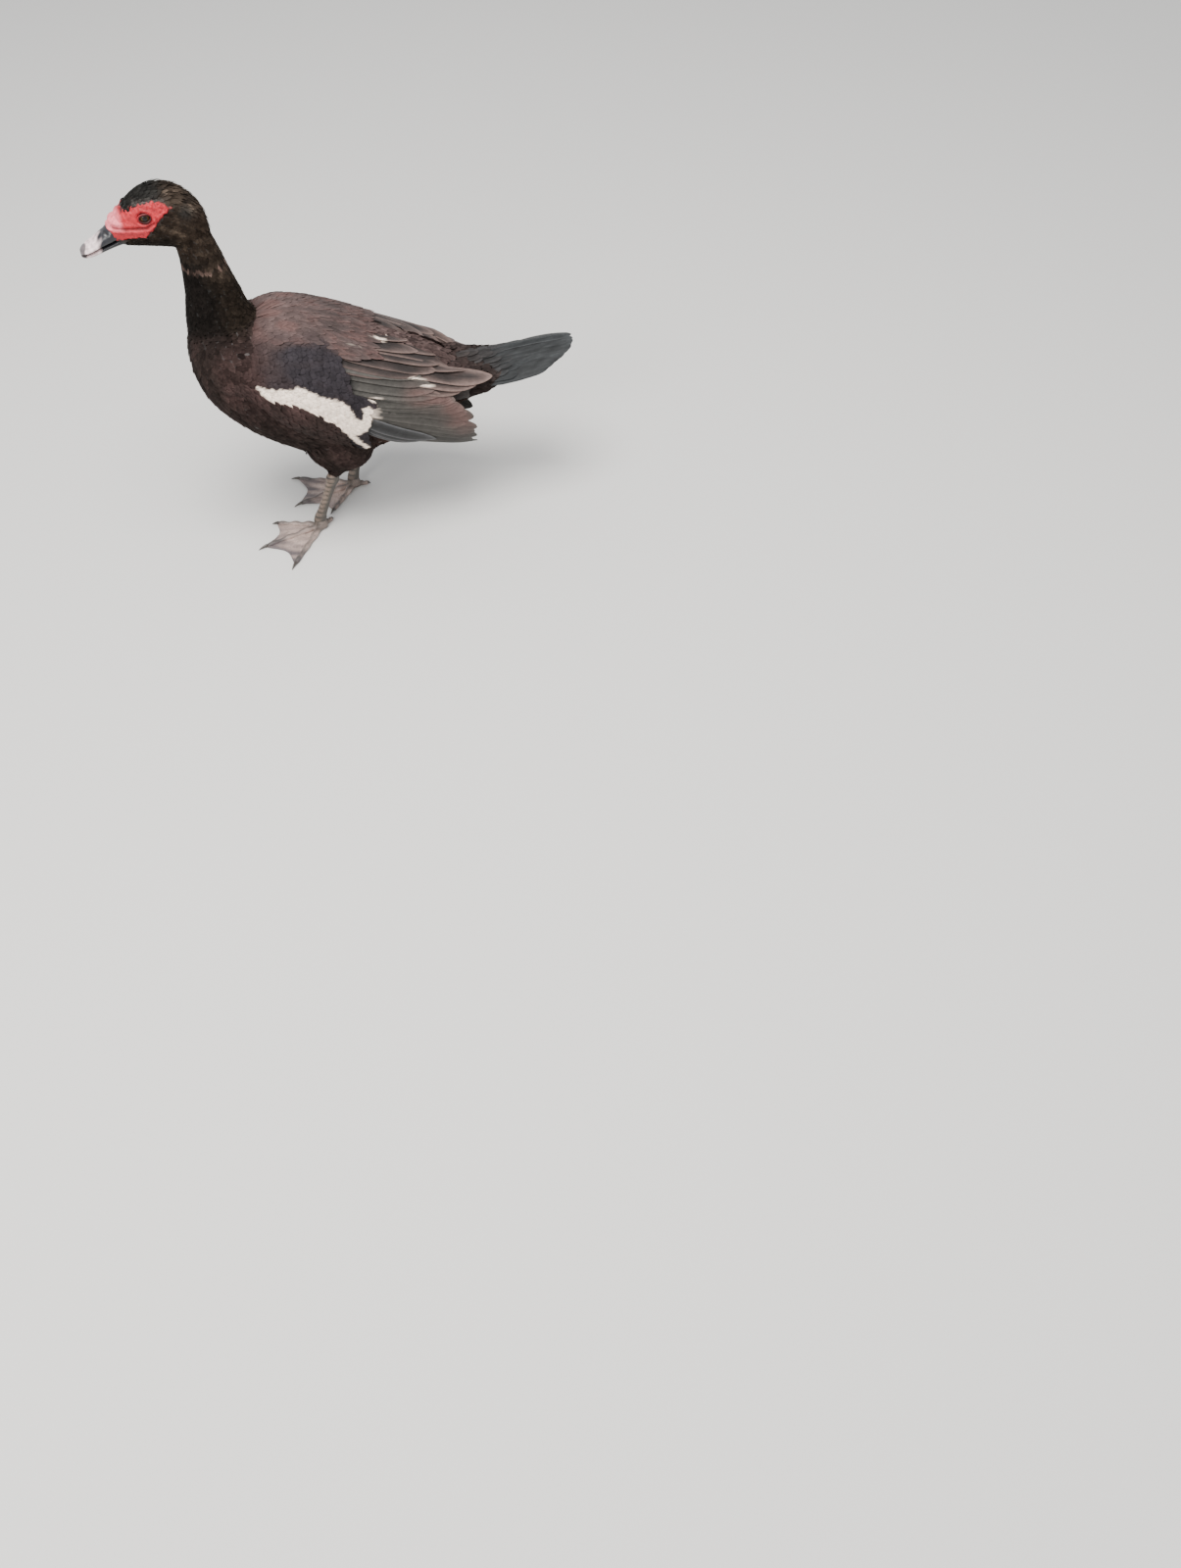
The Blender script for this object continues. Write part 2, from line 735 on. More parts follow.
def feather_material(name, barb_count, streaks, blotches, roughness, gloss, relief):
    """Vane with a dark shaft and slanting barbs, on the coat's own colours."""
    material, nodes, links, shader = node_material(name)
    coat = coat_socket(nodes)
    uv = nodes.new("ShaderNodeUVMap")
    uv.uv_map = "Vane"
    split = nodes.new("ShaderNodeSeparateXYZ")
    links.new(uv.outputs[0], split.inputs[0])
    across = math_node(nodes, links, "ABSOLUTE", math_node(nodes, links, "SUBTRACT", split.outputs[0], 0.5))
    slant = math_node(nodes, links, "MULTIPLY", across, 0.55)
    run = math_node(nodes, links, "SUBTRACT", split.outputs[1], slant)
    wave = math_node(nodes, links, "SINE", math_node(nodes, links, "MULTIPLY", run, barb_count * math.pi * 2))
    blotch = object_noise(nodes, links, 220.0, 3.0)
    blotch = value_range(nodes, links, blotch, (0.3, 0.7), (1 - blotches, 1 + blotches))
    fibre = object_noise(nodes, links, 900.0, 2.0, (0.16, 1.0, 1.0))
    fibre = value_range(nodes, links, fibre, (0.3, 0.7), (1 - streaks, 1 + streaks))
    barb = math_node(nodes, links, "ADD", math_node(nodes, links, "MULTIPLY", wave, 0.08), blotch)
    tone = math_node(nodes, links, "MULTIPLY", barb, fibre)
    toned = scaled_colour(nodes, links, coat.outputs["Color"], tone)
    shaft = value_range(nodes, links, across, (0.012, 0.035), (1.0, 0.0))
    shaft_share = math_node(nodes, links, "MULTIPLY", shaft, 0.4)
    colour = mix_colour(nodes, links, "MIX", shaft_share, toned, (0.012, 0.009, 0.008, 1))
    links.new(colour, shader.inputs["Base Color"])
    height = math_node(nodes, links, "ADD", math_node(nodes, links, "MULTIPLY", wave, 0.35), shaft)
    bump(nodes, links, shader, height, relief, 0.0004)
    shader.inputs["Roughness"].default_value = roughness
    shader.inputs["Specular IOR Level"].default_value = gloss
    return material


def skin_material():
    """Skin: bare and pebbly on the face, matt under the coat."""
    material, nodes, links, shader = node_material("duck_skin")
    coat = coat_socket(nodes)
    bare = coat_socket(nodes, "bare")
    where = nodes.new("ShaderNodeTexCoord")
    pebbles = add_node(nodes, "ShaderNodeTexVoronoi", Scale=900.0)
    pebbles.feature = "SMOOTH_F1"
    links.new(where.outputs["Object"], pebbles.inputs["Vector"])
    tone = value_range(nodes, links, object_noise(nodes, links, 260.0, 4.0), (0.3, 0.7), (0.78, 1.2))
    cells = math_node(nodes, links, "MULTIPLY", pebbles.outputs["Distance"], -0.45)
    shade = math_node(nodes, links, "ADD", tone, cells)
    links.new(scaled_colour(nodes, links, coat.outputs["Color"], shade), shader.inputs["Base Color"])
    height = math_node(nodes, links, "MULTIPLY", pebbles.outputs["Distance"], bare.outputs["Fac"])
    bump(nodes, links, shader, height, 0.55, 0.0006, invert=True)
    shader.inputs["Roughness"].default_value = 0.5
    shader.inputs["Specular IOR Level"].default_value = 0.25
    shader.inputs["Subsurface Weight"].default_value = 0.12
    shader.inputs["Subsurface Radius"].default_value = (0.0018, 0.0006, 0.0004)
    shader.inputs["Subsurface Scale"].default_value = 1.0
    return material


def horn_material(name, roughness, grain, relief):
    """Horn: fine lengthwise streaks and a soft gloss."""
    material, nodes, links, shader = node_material(name)
    coat = coat_socket(nodes)
    streaks = object_noise(nodes, links, grain, 5.0, (0.35, 1.0, 1.0))
    tone = value_range(nodes, links, streaks, (0.3, 0.7), (0.8, 1.18))
    links.new(scaled_colour(nodes, links, coat.outputs["Color"], tone), shader.inputs["Base Color"])
    bump(nodes, links, shader, streaks, relief, 0.0005)
    shader.inputs["Roughness"].default_value = roughness
    return material


def scale_material():
    """Scaled skin of the legs and feet: small plates with dark edges."""
    material, nodes, links, shader = node_material("leg_scales")
    coat = coat_socket(nodes)
    where = nodes.new("ShaderNodeTexCoord")
    cells = add_node(nodes, "ShaderNodeTexVoronoi", Scale=480.0)
    cells.feature = "DISTANCE_TO_EDGE"
    links.new(where.outputs["Object"], cells.inputs["Vector"])
    edge = value_range(nodes, links, cells.outputs["Distance"], (0.0, 0.12), (0.55, 1.0))
    blotch = math_node(nodes, links, "ADD", object_noise(nodes, links, 120.0, 4.0), 0.5)
    tone = math_node(nodes, links, "MULTIPLY", edge, blotch)
    links.new(scaled_colour(nodes, links, coat.outputs["Color"], tone), shader.inputs["Base Color"])
    bump(nodes, links, shader, edge, 0.6, 0.0005)
    shader.inputs["Roughness"].default_value = 0.5
    return material


# Skin

def wing_core_rings(side):
    face = wing_face(side)
    rings = []
    for x, upper, lower, depth in smooth_rows(WING_CORE, 3):
        outer_angle = np.linspace(upper, lower, 12)
        inner_angle = np.linspace(lower, upper, 6)
        outer = face(np.full(12, x), outer_angle, np.full(12, -depth))
        inner = face(np.full(6, x), inner_angle, np.full(6, -WING_CORE_ROOT))
        rings.append(np.concatenate([outer, inner]))
    return np.array(rings)


def mantle_rings():
    rings = []
    for x, sink in smooth_rows(MANTLE, 3):
        offsets, depths = np.array(MANTLE_SECTION, float).T
        crown = face_points(WING_FACE, np.full(len(offsets), x), 90 - offsets, -sink - depths - BODY_COAT)
        root = face_points(WING_FACE, np.array([x]), np.array([90.0]), -MANTLE_ROOT)
        rings.append(np.concatenate([crown, root]))
    return np.array(rings)


def skin_shape():
    """One closed skin over the head, neck, body, thighs and wing roots."""
    head = body_loft(HEAD, 4, 40, -HEAD_COAT)
    head = np.array([turn_head(ring) for ring in head])
    neck_table = smooth_rows(NECK, 4)
    neck_centres = np.stack([neck_table[:, 0], np.zeros(len(neck_table)), neck_table[:, 1]], 1)
    neck = tube_rings(neck_centres, neck_table[:, 2] - NECK_COAT, neck_table[:, 3] - NECK_COAT, 36)
    parts = [
        body_loft(TORSO, 4, 48, -BODY_COAT),
        body_loft(TAIL_BASE, 3, 32, -BODY_COAT),
        mantle_rings(),
        neck,
        head,
    ]
    for side in (LEFT, RIGHT):
        parts.append(limb_rings(THIGH, thigh_top(side), hock_point(side), 28, -BODY_COAT))
        parts.append(wing_core_rings(side))
    piece = new_object("skin", *join_lofts(parts))
    fix_normals(piece.data)
    fuse_parts(piece, SKIN_VOXEL, 5)
    return piece


def fix_normals(mesh):
    """Turns each closed part's faces outwards."""
    work = bmesh.new()
    work.from_mesh(mesh)
    bmesh.ops.recalc_face_normals(work, faces=work.faces)
    work.to_mesh(mesh)
    work.free()


def refine_face(piece):
    """Finer mesh where the skin is bare."""
    for reach in (7.0, 3.5, 1.5):
        work = bmesh.new()
        work.from_mesh(piece.data)
        local = turn_head(np.array([v.co for v in work.verts]) / MM - SHIFT, -HEAD_YAW)
        near = (bare_depth(local) > -reach) & face_side(local)
        edges = [e for e in work.edges if near[e.verts[0].index] and near[e.verts[1].index]]
        bmesh.ops.subdivide_edges(work, edges=edges, cuts=1, use_grid_fill=True)
        work.to_mesh(piece.data)
        work.free()


def carve_face(piece):
    """Raises the bare skin, its warts and folds, and sinks the eye sockets."""
    mesh = piece.data
    points = mesh_points(mesh)
    normals = mesh_normals(mesh)
    local = turn_head(points, -HEAD_YAW)
    depth = bare_depth(local) + 0.8 * noise(local, 6, 15)
    face = smoothstep(-1.2, 1.4, depth) * face_side(local)
    rise = face * (HEAD_COAT + 0.5)
    rise += face * wart_heights(local)
    crease = line_distance(local[:, [0, 2]], CREASE)
    rise -= face * 1.3 * np.exp(-(crease / 1.3) ** 2)
    rise += face * 0.9 * np.exp(-((crease - 3.2) / 1.8) ** 2)
    eye = np.abs(local[:, 1]) > 8
    span = eye_distance(local, (1.12, 0.84))
    rise -= eye * 5.0 * (1 - smoothstep(4.2, 6.6, span))
    rise += eye * face * 0.9 * np.exp(-((span - 8.2) / 1.3) ** 2)
    points += normals * rise[:, None]
    move_points(mesh, points)
    return face


def wart_heights(local):
    """Small caruncles round the bare face and larger bulbs over the bill."""
    random = np.random.default_rng(21)
    height = np.zeros(len(local))
    edge = np.array(FACE_EDGE, float)
    for side in (LEFT, RIGHT):
        on_side = np.sign(local[:, 1]) == side
        for _ in range(90):
            i = random.integers(1, len(edge) - 2)
            spot = edge[i] + (edge[i + 1] - edge[i]) * random.uniform()
            inward = np.array([-114, 397]) - spot
            spot = spot + inward * random.uniform(0.02, 0.30)
            radius = random.uniform(0.7, 1.5)
            distance = np.linalg.norm(local[:, [0, 2]] - spot, axis=1)
            swelling = np.clip(1 - (distance / (radius * 1.5)) ** 2, 0, 1) ** 1.2 * radius * 0.5
            height = np.where(on_side, np.maximum(height, swelling), height)
        for x, z, radius in ((-140, 395.5, 3.6), (-133.5, 400.5, 3.0), (-145, 391, 2.6), (-126, 406.5, 2.2)):
            distance = np.linalg.norm(local[:, [0, 2]] - [x, z], axis=1)
            swelling = np.clip(1 - (distance / (radius * 1.25)) ** 2, 0, 1) ** 0.8 * radius * 0.5
            height = np.where(on_side, np.maximum(height, swelling), height)
    return height + 0.12 * noise(local, 2.6, 33)


def build_skin():
    piece = skin_shape()
    refine_face(piece)
    face = carve_face(piece)
    mesh = piece.data
    points = mesh_points(mesh)
    local = turn_head(points, -HEAD_YAW)
    colours = mix(body_colours(points), np.clip(skin_colours(local), 0.004, 1), face)
    set_colours(mesh, colours)
    set_values(mesh, face, "bare")
    mesh.materials.append(skin_material())
    mesh.polygons.foreach_set("use_smooth", [True] * len(mesh.polygons))
    unwrap(piece)
    return piece


def unwrap(piece):
    """Unwrap of the skin's own shape, used for the whole coat."""
    piece.data.uv_layers.new(name="OFBake")
    bpy.context.view_layer.objects.active = piece
    piece.select_set(True)
    bpy.ops.object.mode_set(mode="EDIT")
    bpy.ops.mesh.select_all(action="SELECT")
    bpy.ops.uv.smart_project(angle_limit=math.radians(66), island_margin=0.004)
    bpy.ops.object.mode_set(mode="OBJECT")
    piece.select_set(False)


class SkinMap:
    """Nearest points, normals and UVs on the finished skin, in the duck frame."""

    def __init__(self, mesh):
        mesh.calc_loop_triangles()
        count = len(mesh.loop_triangles)
        corners = np.zeros(count * 3, np.int32)
        loops = np.zeros(count * 3, np.int32)
        mesh.loop_triangles.foreach_get("vertices", corners)
        mesh.loop_triangles.foreach_get("loops", loops)
        self.points = mesh_points(mesh)
        self.triangles = corners.reshape(-1, 3)
        uv = np.zeros(len(mesh.loops) * 2, np.float32)
        mesh.uv_layers["OFBake"].data.foreach_get("uv", uv)
        self.uv = uv.reshape(-1, 2)[loops.reshape(-1, 3)].mean(1)
        self.tree = BVHTree.FromPolygons(self.points.tolist(), self.triangles.tolist())
        a, b, c = (self.points[self.triangles[:, k]] for k in range(3))
        cross = np.cross(b - a, c - a)
        self.areas = np.linalg.norm(cross, axis=1) / 2

    def nearest(self, points):
        spots, normals, faces = [], [], []
        for point in points:
            spot, normal, face, _ = self.tree.find_nearest(Vector(point))
            spots.append(spot)
            normals.append(normal)
            faces.append(face)
        return np.array(spots), np.array(normals), np.array(faces)

    def scatter(self, spacing, keep, seed):
        """Random points spread evenly over the skin, closer where spacing is smaller."""
        random = np.random.default_rng(seed)
        a, b, c = (self.points[self.triangles[:, k]] for k in range(3))
        centres = (a + b + c) / 3
        wanted = np.where(keep(centres), self.areas / spacing(centres) ** 2 * 4.5, 0)
        counts = np.floor(wanted + random.uniform(size=len(wanted))).astype(int)
        faces = np.repeat(np.arange(len(counts)), counts)
        u, v = random.uniform(size=(2, len(faces)))
        over = u + v > 1
        u[over], v[over] = 1 - u[over], 1 - v[over]
        spots = a[faces] + (b - a)[faces] * u[:, None] + (c - a)[faces] * v[:, None]
        order = random.permutation(len(faces))
        faces, spots = faces[order], spots[order]
        chosen = thin_out(spots, spacing(spots))
        spots, faces = spots[chosen], faces[chosen]
        inside = keep(spots)
        spots, faces = spots[inside], faces[inside]
        normals = np.cross((b - a)[faces], (c - a)[faces])
        normals /= np.linalg.norm(normals, axis=1, keepdims=True)
        return spots, normals, self.uv[faces]


def thin_out(spots, spacing):
    """Indices of points that keep their spacing from all those taken before."""
    cell = float(spacing.max())
    grid = {}
    chosen = []
    keys = np.floor(spots / cell).astype(int)
    for index in range(len(spots)):
        kx, ky, kz = keys[index]
        others = [
            other
            for dx, dy, dz in itertools.product((-1, 0, 1), repeat=3)
            for other in grid.get((kx + dx, ky + dy, kz + dz), ())
        ]
        gaps = spots[others] - spots[index]
        if np.all(gaps[:, 0] ** 2 + gaps[:, 1] ** 2 + gaps[:, 2] ** 2 >= spacing[index] ** 2):
            chosen.append(index)
            grid.setdefault((kx, ky, kz), []).append(index)
    return np.array(chosen, int)


# Contour feathers

def flow(points, normals):
    """Lie of the coat: back from the bill, down the neck, back along the body."""
    x, _, z = points.T
    local = turn_head(points, -HEAD_YAW)
    from_bill = local - np.array([-152.0, 0.0, 392.0])
    from_bill /= np.linalg.norm(from_bill, axis=1, keepdims=True)
    from_bill = turn_head(from_bill + HEAD_PIVOT * [1, 1, 0]) - HEAD_PIVOT * [1, 1, 0]
    nape = smoothstep(-100, -66, local[:, 0])
    head_way = from_bill + np.outer(nape, [0.1, 0, -1.3])
    neck_way = np.tile([0.05, 0.0, -1.0], (len(points), 1))
    front = 1 - smoothstep(-85, -20, x)
    torso_way = np.stack([0.25 + (1 - front), np.zeros(len(x)), -0.12 - front * 0.9], 1)
    head = smoothstep(350, 368, z)
    neck = smoothstep(240, 285, z) * (x < -10)
    way = mix(torso_way, neck_way, neck)
    way = mix(way, head_way, head)
    way -= normals * np.sum(way * normals, axis=1, keepdims=True)
    return way / np.maximum(np.linalg.norm(way, axis=1, keepdims=True), 1e-6)


def coat_sizes(points):
    """Length, width, spacing and lift of the feathers at points."""
    x, _, z = points.T
    head = smoothstep(346, 366, z)
    neck = smoothstep(250, 300, z) * (x < -10)
    rear = smoothstep(20, 140, x)
    leg = (z < 124) * smoothstep(118, 100, z)
    length = 13.5 + 5 * rear
    width = 8.6 + 3 * rear
    spacing = 4.5 + 0.9 * rear
    for share, values in ((neck, (9.0, 5.0, 3.0)), (head, (5.4, 3.0, 1.95)), (leg, (10.5, 6.2, 3.5))):
        length = length + (values[0] - length) * share
        width = width + (values[1] - width) * share
        spacing = spacing + (values[2] - spacing) * share
    return length, width, spacing


def wing_cover(points, margin):
    """True where a folded wing hides the body."""
    covered = np.zeros(len(points), bool)
    stations = [-30, -15, 5, 38, 58, 104, 160, 205]
    uppers = [46, 58, 66, 68, 66, 60, 60, 58]
    lowers = [20, 12, 8, -4, -12, -22, -26, -26]
    for side in (LEFT, RIGHT):
        x, degrees = wing_place(points, side)
        upper = np.interp(x, stations, uppers) - margin
        lower = np.interp(x, stations, lowers) + margin
        covered |= (x > -12) & (x < 200) & (degrees < upper) & (degrees > lower) & (points[:, 1] * side > 0)
    return covered


def body_keep(points):
    local = turn_head(points, -HEAD_YAW)
    bare = (bare_depth(local) > -0.4) & face_side(local)
    eye = eye_distance(local) < 7.5
    in_bill = (local[:, 0] < -137) & (local[:, 2] > 340)
    return ~(bare | in_bill | (eye & (local[:, 0] < -90))) & ~wing_cover(points, 8)


def vane_outline(rows):
    """Half width along a contour feather as a share of the widest."""
    t = np.linspace(0, 1, rows)
    return np.clip(np.sin(np.clip(t * 0.86 + 0.17, 0, 1) * math.pi) ** 0.55, 0.12, 1)


def contour_feathers(name, skin, spots, normals, uvs, material, seed, crest=0.0):
    """Sheets of small feathers that lie along the skin and bend with it."""
    random = np.random.default_rng(seed)
    count = len(spots)
    rows, columns = 6, 5
    length, width, _ = coat_sizes(spots)
    crest = crest * smoothstep(-118, -100, turn_head(spots, -HEAD_YAW)[:, 0])
    length = length * random.uniform(0.85, 1.15, count) * (1 + crest)
    width = width * random.uniform(0.88, 1.12, count)
    way = flow(spots, normals)
    side = np.cross(normals, way)
    twist = random.normal(0, 0.10, count)[:, None]
    way = way * np.cos(twist) + side * np.sin(twist)
    side = np.cross(normals, way)
    lift = length * random.uniform(0.05, 0.12, count) * (1 + crest * 2)
    middle, middle_normal, _ = skin.nearest(spots + way * (length * 0.5)[:, None])
    tip, tip_normal, _ = skin.nearest(spots + way * length[:, None])
    middle = middle + middle_normal * (lift * 0.55 + 0.25)[:, None]
    tip = tip + tip_normal * (lift + 0.1)[:, None]
    root = spots - normals * 0.35
    t = np.linspace(0, 1, rows)[None, :, None]
    control = middle * 2 - (root + tip) / 2
    line = (1 - t) ** 2 * root[:, None] + 2 * t * (1 - t) * control[:, None] + t ** 2 * tip[:, None]
    across = np.linspace(-1, 1, columns)
    half = vane_outline(rows)[None, :, None] * (width / 2)[:, None, None]
    ragged = 1 + random.uniform(-0.12, 0.12, (count, rows, columns)) * np.abs(across)
    offset = across * half * ragged
    up = normals[:, None, None, :] * (1 - t[..., None]) + tip_normal[:, None, None, :] * t[..., None]
    points = line[:, :, None, :] + side[:, None, None, :] * offset[..., None]
    points = points - up * (0.16 * np.abs(offset) * np.abs(across))[..., None]
    points[:, -1] -= way[:, None] * (np.abs(across) ** 2 * (width * 0.22)[:, None])[..., None]
    tone = random.uniform(0.72, 1.28, count)
    flat = points.reshape(-1, 3)
    base = body_colours(spots)
    shades = edge_shades(rows, columns, random, count) * tone[:, None]
    colour = (base[:, None, :] * shades[:, :, None]).reshape(-1, 3)
    vane_u = np.tile(np.tile((across + 1) / 2, rows), count)
    vane_v = np.tile(np.repeat(np.linspace(0, 1, rows), columns), count)
    patch = np.stack([vane_u - 0.5, vane_v - 0.5], 1) * BAKE_PATCH
    bake = np.repeat(uvs, rows * columns, axis=0) + patch
    faces = grid_faces(count, rows, columns)
    return sheet_object(name, flat, faces, colour, (vane_u, vane_v), bake, material)


def edge_shades(rows, columns, random, count):
    """Feather shading: darker root, a slightly paler fringe."""
    t = np.linspace(0, 1, rows)[:, None]
    s = np.abs(np.linspace(-1, 1, columns))[None, :]
    fringe = np.clip(t ** 3 + s ** 4 * 0.5, 0, 1)
    shade = 0.78 + 0.42 * fringe
    return shade.reshape(1, -1) * random.uniform(0.94, 1.06, (count, rows * columns))


def grid_faces(count, rows, columns):
    """Faces of many grids of rows by columns."""
    r, c = np.meshgrid(np.arange(rows - 1), np.arange(columns - 1), indexing="ij")
    first = (r * columns + c).ravel()
    quads = np.stack([first, first + 1, first + columns + 1, first + columns], 1)
    starts = np.arange(count)[:, None, None] * rows * columns
    return (quads[None] + starts).reshape(-1, 4)


def sheet_object(name, points, faces, colours, vane, bake, material):
    """Feather mesh with its colours, its vane map and its bake map."""
    mesh = bpy.data.meshes.new(name)
    mesh.vertices.add(len(points))
    mesh.vertices.foreach_set("co", place(points).astype(np.float32).ravel())
    mesh.loops.add(len(faces) * 4)
    mesh.loops.foreach_set("vertex_index", faces.astype(np.int32).ravel())
    mesh.polygons.add(len(faces))
    mesh.polygons.foreach_set("loop_start", np.arange(len(faces), dtype=np.int32) * 4)
    mesh.polygons.foreach_set("use_smooth", [True] * len(faces))
    mesh.update(calc_edges=True)
    set_colours(mesh, colours)
    set_uv(mesh, bake, "OFBake")
    set_uv(mesh, np.stack(vane, 1), "Vane")
    mesh.materials.append(material)
    piece = bpy.data.objects.new(name, mesh)
    bpy.context.scene.collection.objects.link(piece)
    return piece


def build_contour_coat(skin, material):
    """Small feathers of the head, neck, body and thighs, in pieces of even size."""
    def spacing(points):
        return coat_sizes(points)[2]
    spots, normals, uvs = skin.scatter(spacing, body_keep, 5)
    groups = {
        "coat_head": spots[:, 2] > 352,
        "coat_neck": (spots[:, 2] <= 352) & (spots[:, 2] > 262) & (spots[:, 0] < -10),
    }
    rest = ~(groups["coat_head"] | groups["coat_neck"])
    groups["coat_body_left"] = rest & (spots[:, 1] < 0)
    groups["coat_body_right"] = rest & (spots[:, 1] >= 0)
    pieces = []
    for seed, (name, chosen) in enumerate(groups.items()):
        pieces.append(contour_feathers(
            name, skin, spots[chosen], normals[chosen], uvs[chosen], material, 100 + seed
        ))
    return pieces


def build_crest(skin, material):
    """Longer, slightly raised feathers on the crown and nape."""
    def keep(points):
        local = turn_head(points, -HEAD_YAW)
        x, y, z = local.T
        crown = (z > 409) & (np.abs(y) < 17) & (x > -122)
        nape = (x > -84) & (z > 374) & (np.abs(y) < 19)
        return (crown | nape) & (bare_depth(local) < -1.5)
    spots, normals, uvs = skin.scatter(lambda points: np.full(len(points), 2.6), keep, 9)
    return contour_feathers("crest", skin, spots, normals, uvs, material, 31, crest=0.75)


# Wing and tail feathers

WHITE_PATCH = [
    (-34, 19), (-26, 17.3), (-20, 17), (-9, 18.4), (1, 18.9), (10, 21.2), (16, 21.5), (23, 18.8),
    (31.5, 16), (42, 14.5), (50, 13.8), (58, 11.4), (61.5, 8.6), (64.5, 2.5), (68, -3), (71.5, -6),
    (75, -3.4), (77.4, 2.3), (76, 6.6), (84, 7.7), (92, 4.3), (92, -1), (86, -9), (78.5, -14.7),
    (71, -18.5), (64, -20), (72, -30), (82, -41.5), (78.5, -44), (66, -31.5), (56, -19.5), (50, -14),
    (42.6, -10.5), (33, -6), (23.6, -2), (9.6, 1), (-4, 0.2), (-17, 1.5), (-28, 7.5),
]
# Lower edge of the white patch, from the shoulder back: place along X, degrees
PATCH_FOOT = [
    (-60, 14), (-28, 6), (-17, 1), (10, 0.5), (24, -2.5), (33, -6.5), (50, -15), (66, -32), (78, -44),
]
# Centre, half length and half height of the small white marks, on the left wing only but for the oval
WHITE_OVAL = (91, 15, 5, 2.6)
WHITE_MARKS = [
    (113, 84, 5, 2.4), (109, 75, 6.5, 2.0), (76, 61, 6, 0.35), (141, 38.6, 7, 0.9), (153, 31.5, 6, 0.8),
]
MARK_SCALE = np.array([1.0, 1.5])
DEGREE_LENGTH = 1.5
# Grey panel's dark lower line, and the line along the middle of the russet area
GREY_FOOT = [(69, 38), (68, 25), (78, 12.5), (91, -1.5), (107, -15), (122, -28.5), (150, -46)]
RUSSET_LINE = [(140, 18), (168, 12), (192, -22)]


def wing_colours(x, degrees, edge, kind, tone, side):
    """Colour of the wing at places on its face; edge is the place's nearness to its feather's edge."""
    spots = np.stack([x, degrees * DEGREE_LENGTH, x * 0], 1)
    patches = noise(spots, 26, 47)
    if kind == "covert":
        brown = np.clip(smoothstep(22, -28, x) * 0.8 + 0.25 * patches, 0, 1)
        base = mix(mix(COVERT, COVERT_BROWN, brown), BREAST_RED, smoothstep(-12, -36, x))
        base = mix(base, BACK_BROWN * 0.62, smoothstep(46, 64, degrees + 6 * patches) * 0.9)
    elif kind == "grey":
        foot = degrees - np.interp(x, *np.array(GREY_FOOT, float).T)
        base = mix(GREY_GREEN * 0.9, GREY_GREEN * 1.12, edge)
        base = mix(base, SECONDARY_DARK, smoothstep(3, -10, foot) * smoothstep(160, 120, x) * 0.95)
        russet = np.exp(-(line_distance(np.stack([x, degrees], 1), RUSSET_LINE) / 13) ** 2)
        base = mix(base, RUSSET, np.clip(russet * (1 + 0.5 * patches), 0, 1) * 0.9)
        base = mix(base, SECONDARY_DARK, smoothstep(-24, -40, degrees) * smoothstep(140, 165, x) * 0.6)
    elif kind == "primary":
        base = mix(BLUE_GREY, BLUE_GREY * 3, edge)
    elif kind == "back":
        light = mix(BACK_BROWN, BACK_RED, smoothstep(-0.2, 0.8, patches))
        inner = mix(SCAPULAR_DARK, light, 0.35 + 0.5 * smoothstep(60, 0, x))
        base = mix(inner, light, edge * smoothstep(-0.9, 0.1, patches))
        lower = smoothstep(66, 52, degrees + 5 * patches) * smoothstep(60, 20, x)
        base = mix(base, mix(COVERT, COVERT_BROWN, 0.7) * 1.25, lower * 0.75)
        base = mix(base, BREAST_RED, smoothstep(0, -40, x) * 0.85)
    else:
        base = mix(TERTIAL_DARK, TERTIAL, np.clip(edge * 1.2 - 0.1 + 0.25 * patches, 0, 1))
        base = mix(base, TERTIAL_DARK, smoothstep(58, 36, degrees) * smoothstep(150, 120, x) * 0.5)
    base = base * (1 + 0.08 * noise(spots, 16, 41)[:, None]) * np.asarray(tone)[:, None]
    metric = np.stack([x, degrees], 1) * MARK_SCALE
    patch = polygon_distance(metric, np.array(WHITE_PATCH, float) * MARK_SCALE)
    white = smoothstep(-0.6, 0.9, patch + 0.9 * noise(spots, 7, 43))
    marks = [WHITE_OVAL] + (WHITE_MARKS if side == LEFT else [])
    for centre_x, centre_degrees, half_length, half_height in marks:
        spot = ((x - centre_x) / half_length) ** 2 + ((degrees - centre_degrees) / half_height) ** 2
        white = np.maximum(white, 1 - smoothstep(0.6, 1.3, spot))
    return mix(base, WHITE * (1 - 0.06 * (1 - edge[:, None])), white)


class Plumes:
    """Collects vanes of one grid size, and lays each on its own strip of the bake map."""

    def __init__(self, rows, columns, thickness):
        self.rows = rows
        self.columns = columns
        self.thickness = thickness
        self.points = []
        self.colours = []

    def add(self, points, colours):
        self.points.append(points.reshape(-1, 3))
        self.colours.append(colours)

    def build(self, name, material):
        count = len(self.points)
        points = np.concatenate(self.points)
        colours = np.concatenate(self.colours)
        vane_u = np.tile(np.tile(np.linspace(0, 1, self.columns), self.rows), count)
        vane_v = np.tile(np.repeat(vane_steps(self.rows), self.columns), count)
        strips = math.ceil(math.sqrt(count * 4))
        index = np.repeat(np.arange(count), self.rows * self.columns)
        tall = math.ceil(count / strips)
        bake = np.stack([
            (index % strips + 0.08 + 0.84 * vane_u) / strips,
            (index // strips + 0.04 + 0.92 * vane_v) / tall,
        ], 1)
        faces = grid_faces(count, self.rows, self.columns)
        piece = sheet_object(name, points, faces, colours, (vane_u, vane_v), bake, material)
        thicken(piece, self.thickness)
        return piece


def vane_steps(rows):
    """Shares along a vane, closer together towards its tip."""
    return 1 - (1 - np.linspace(0, 1, rows)) ** 1.8


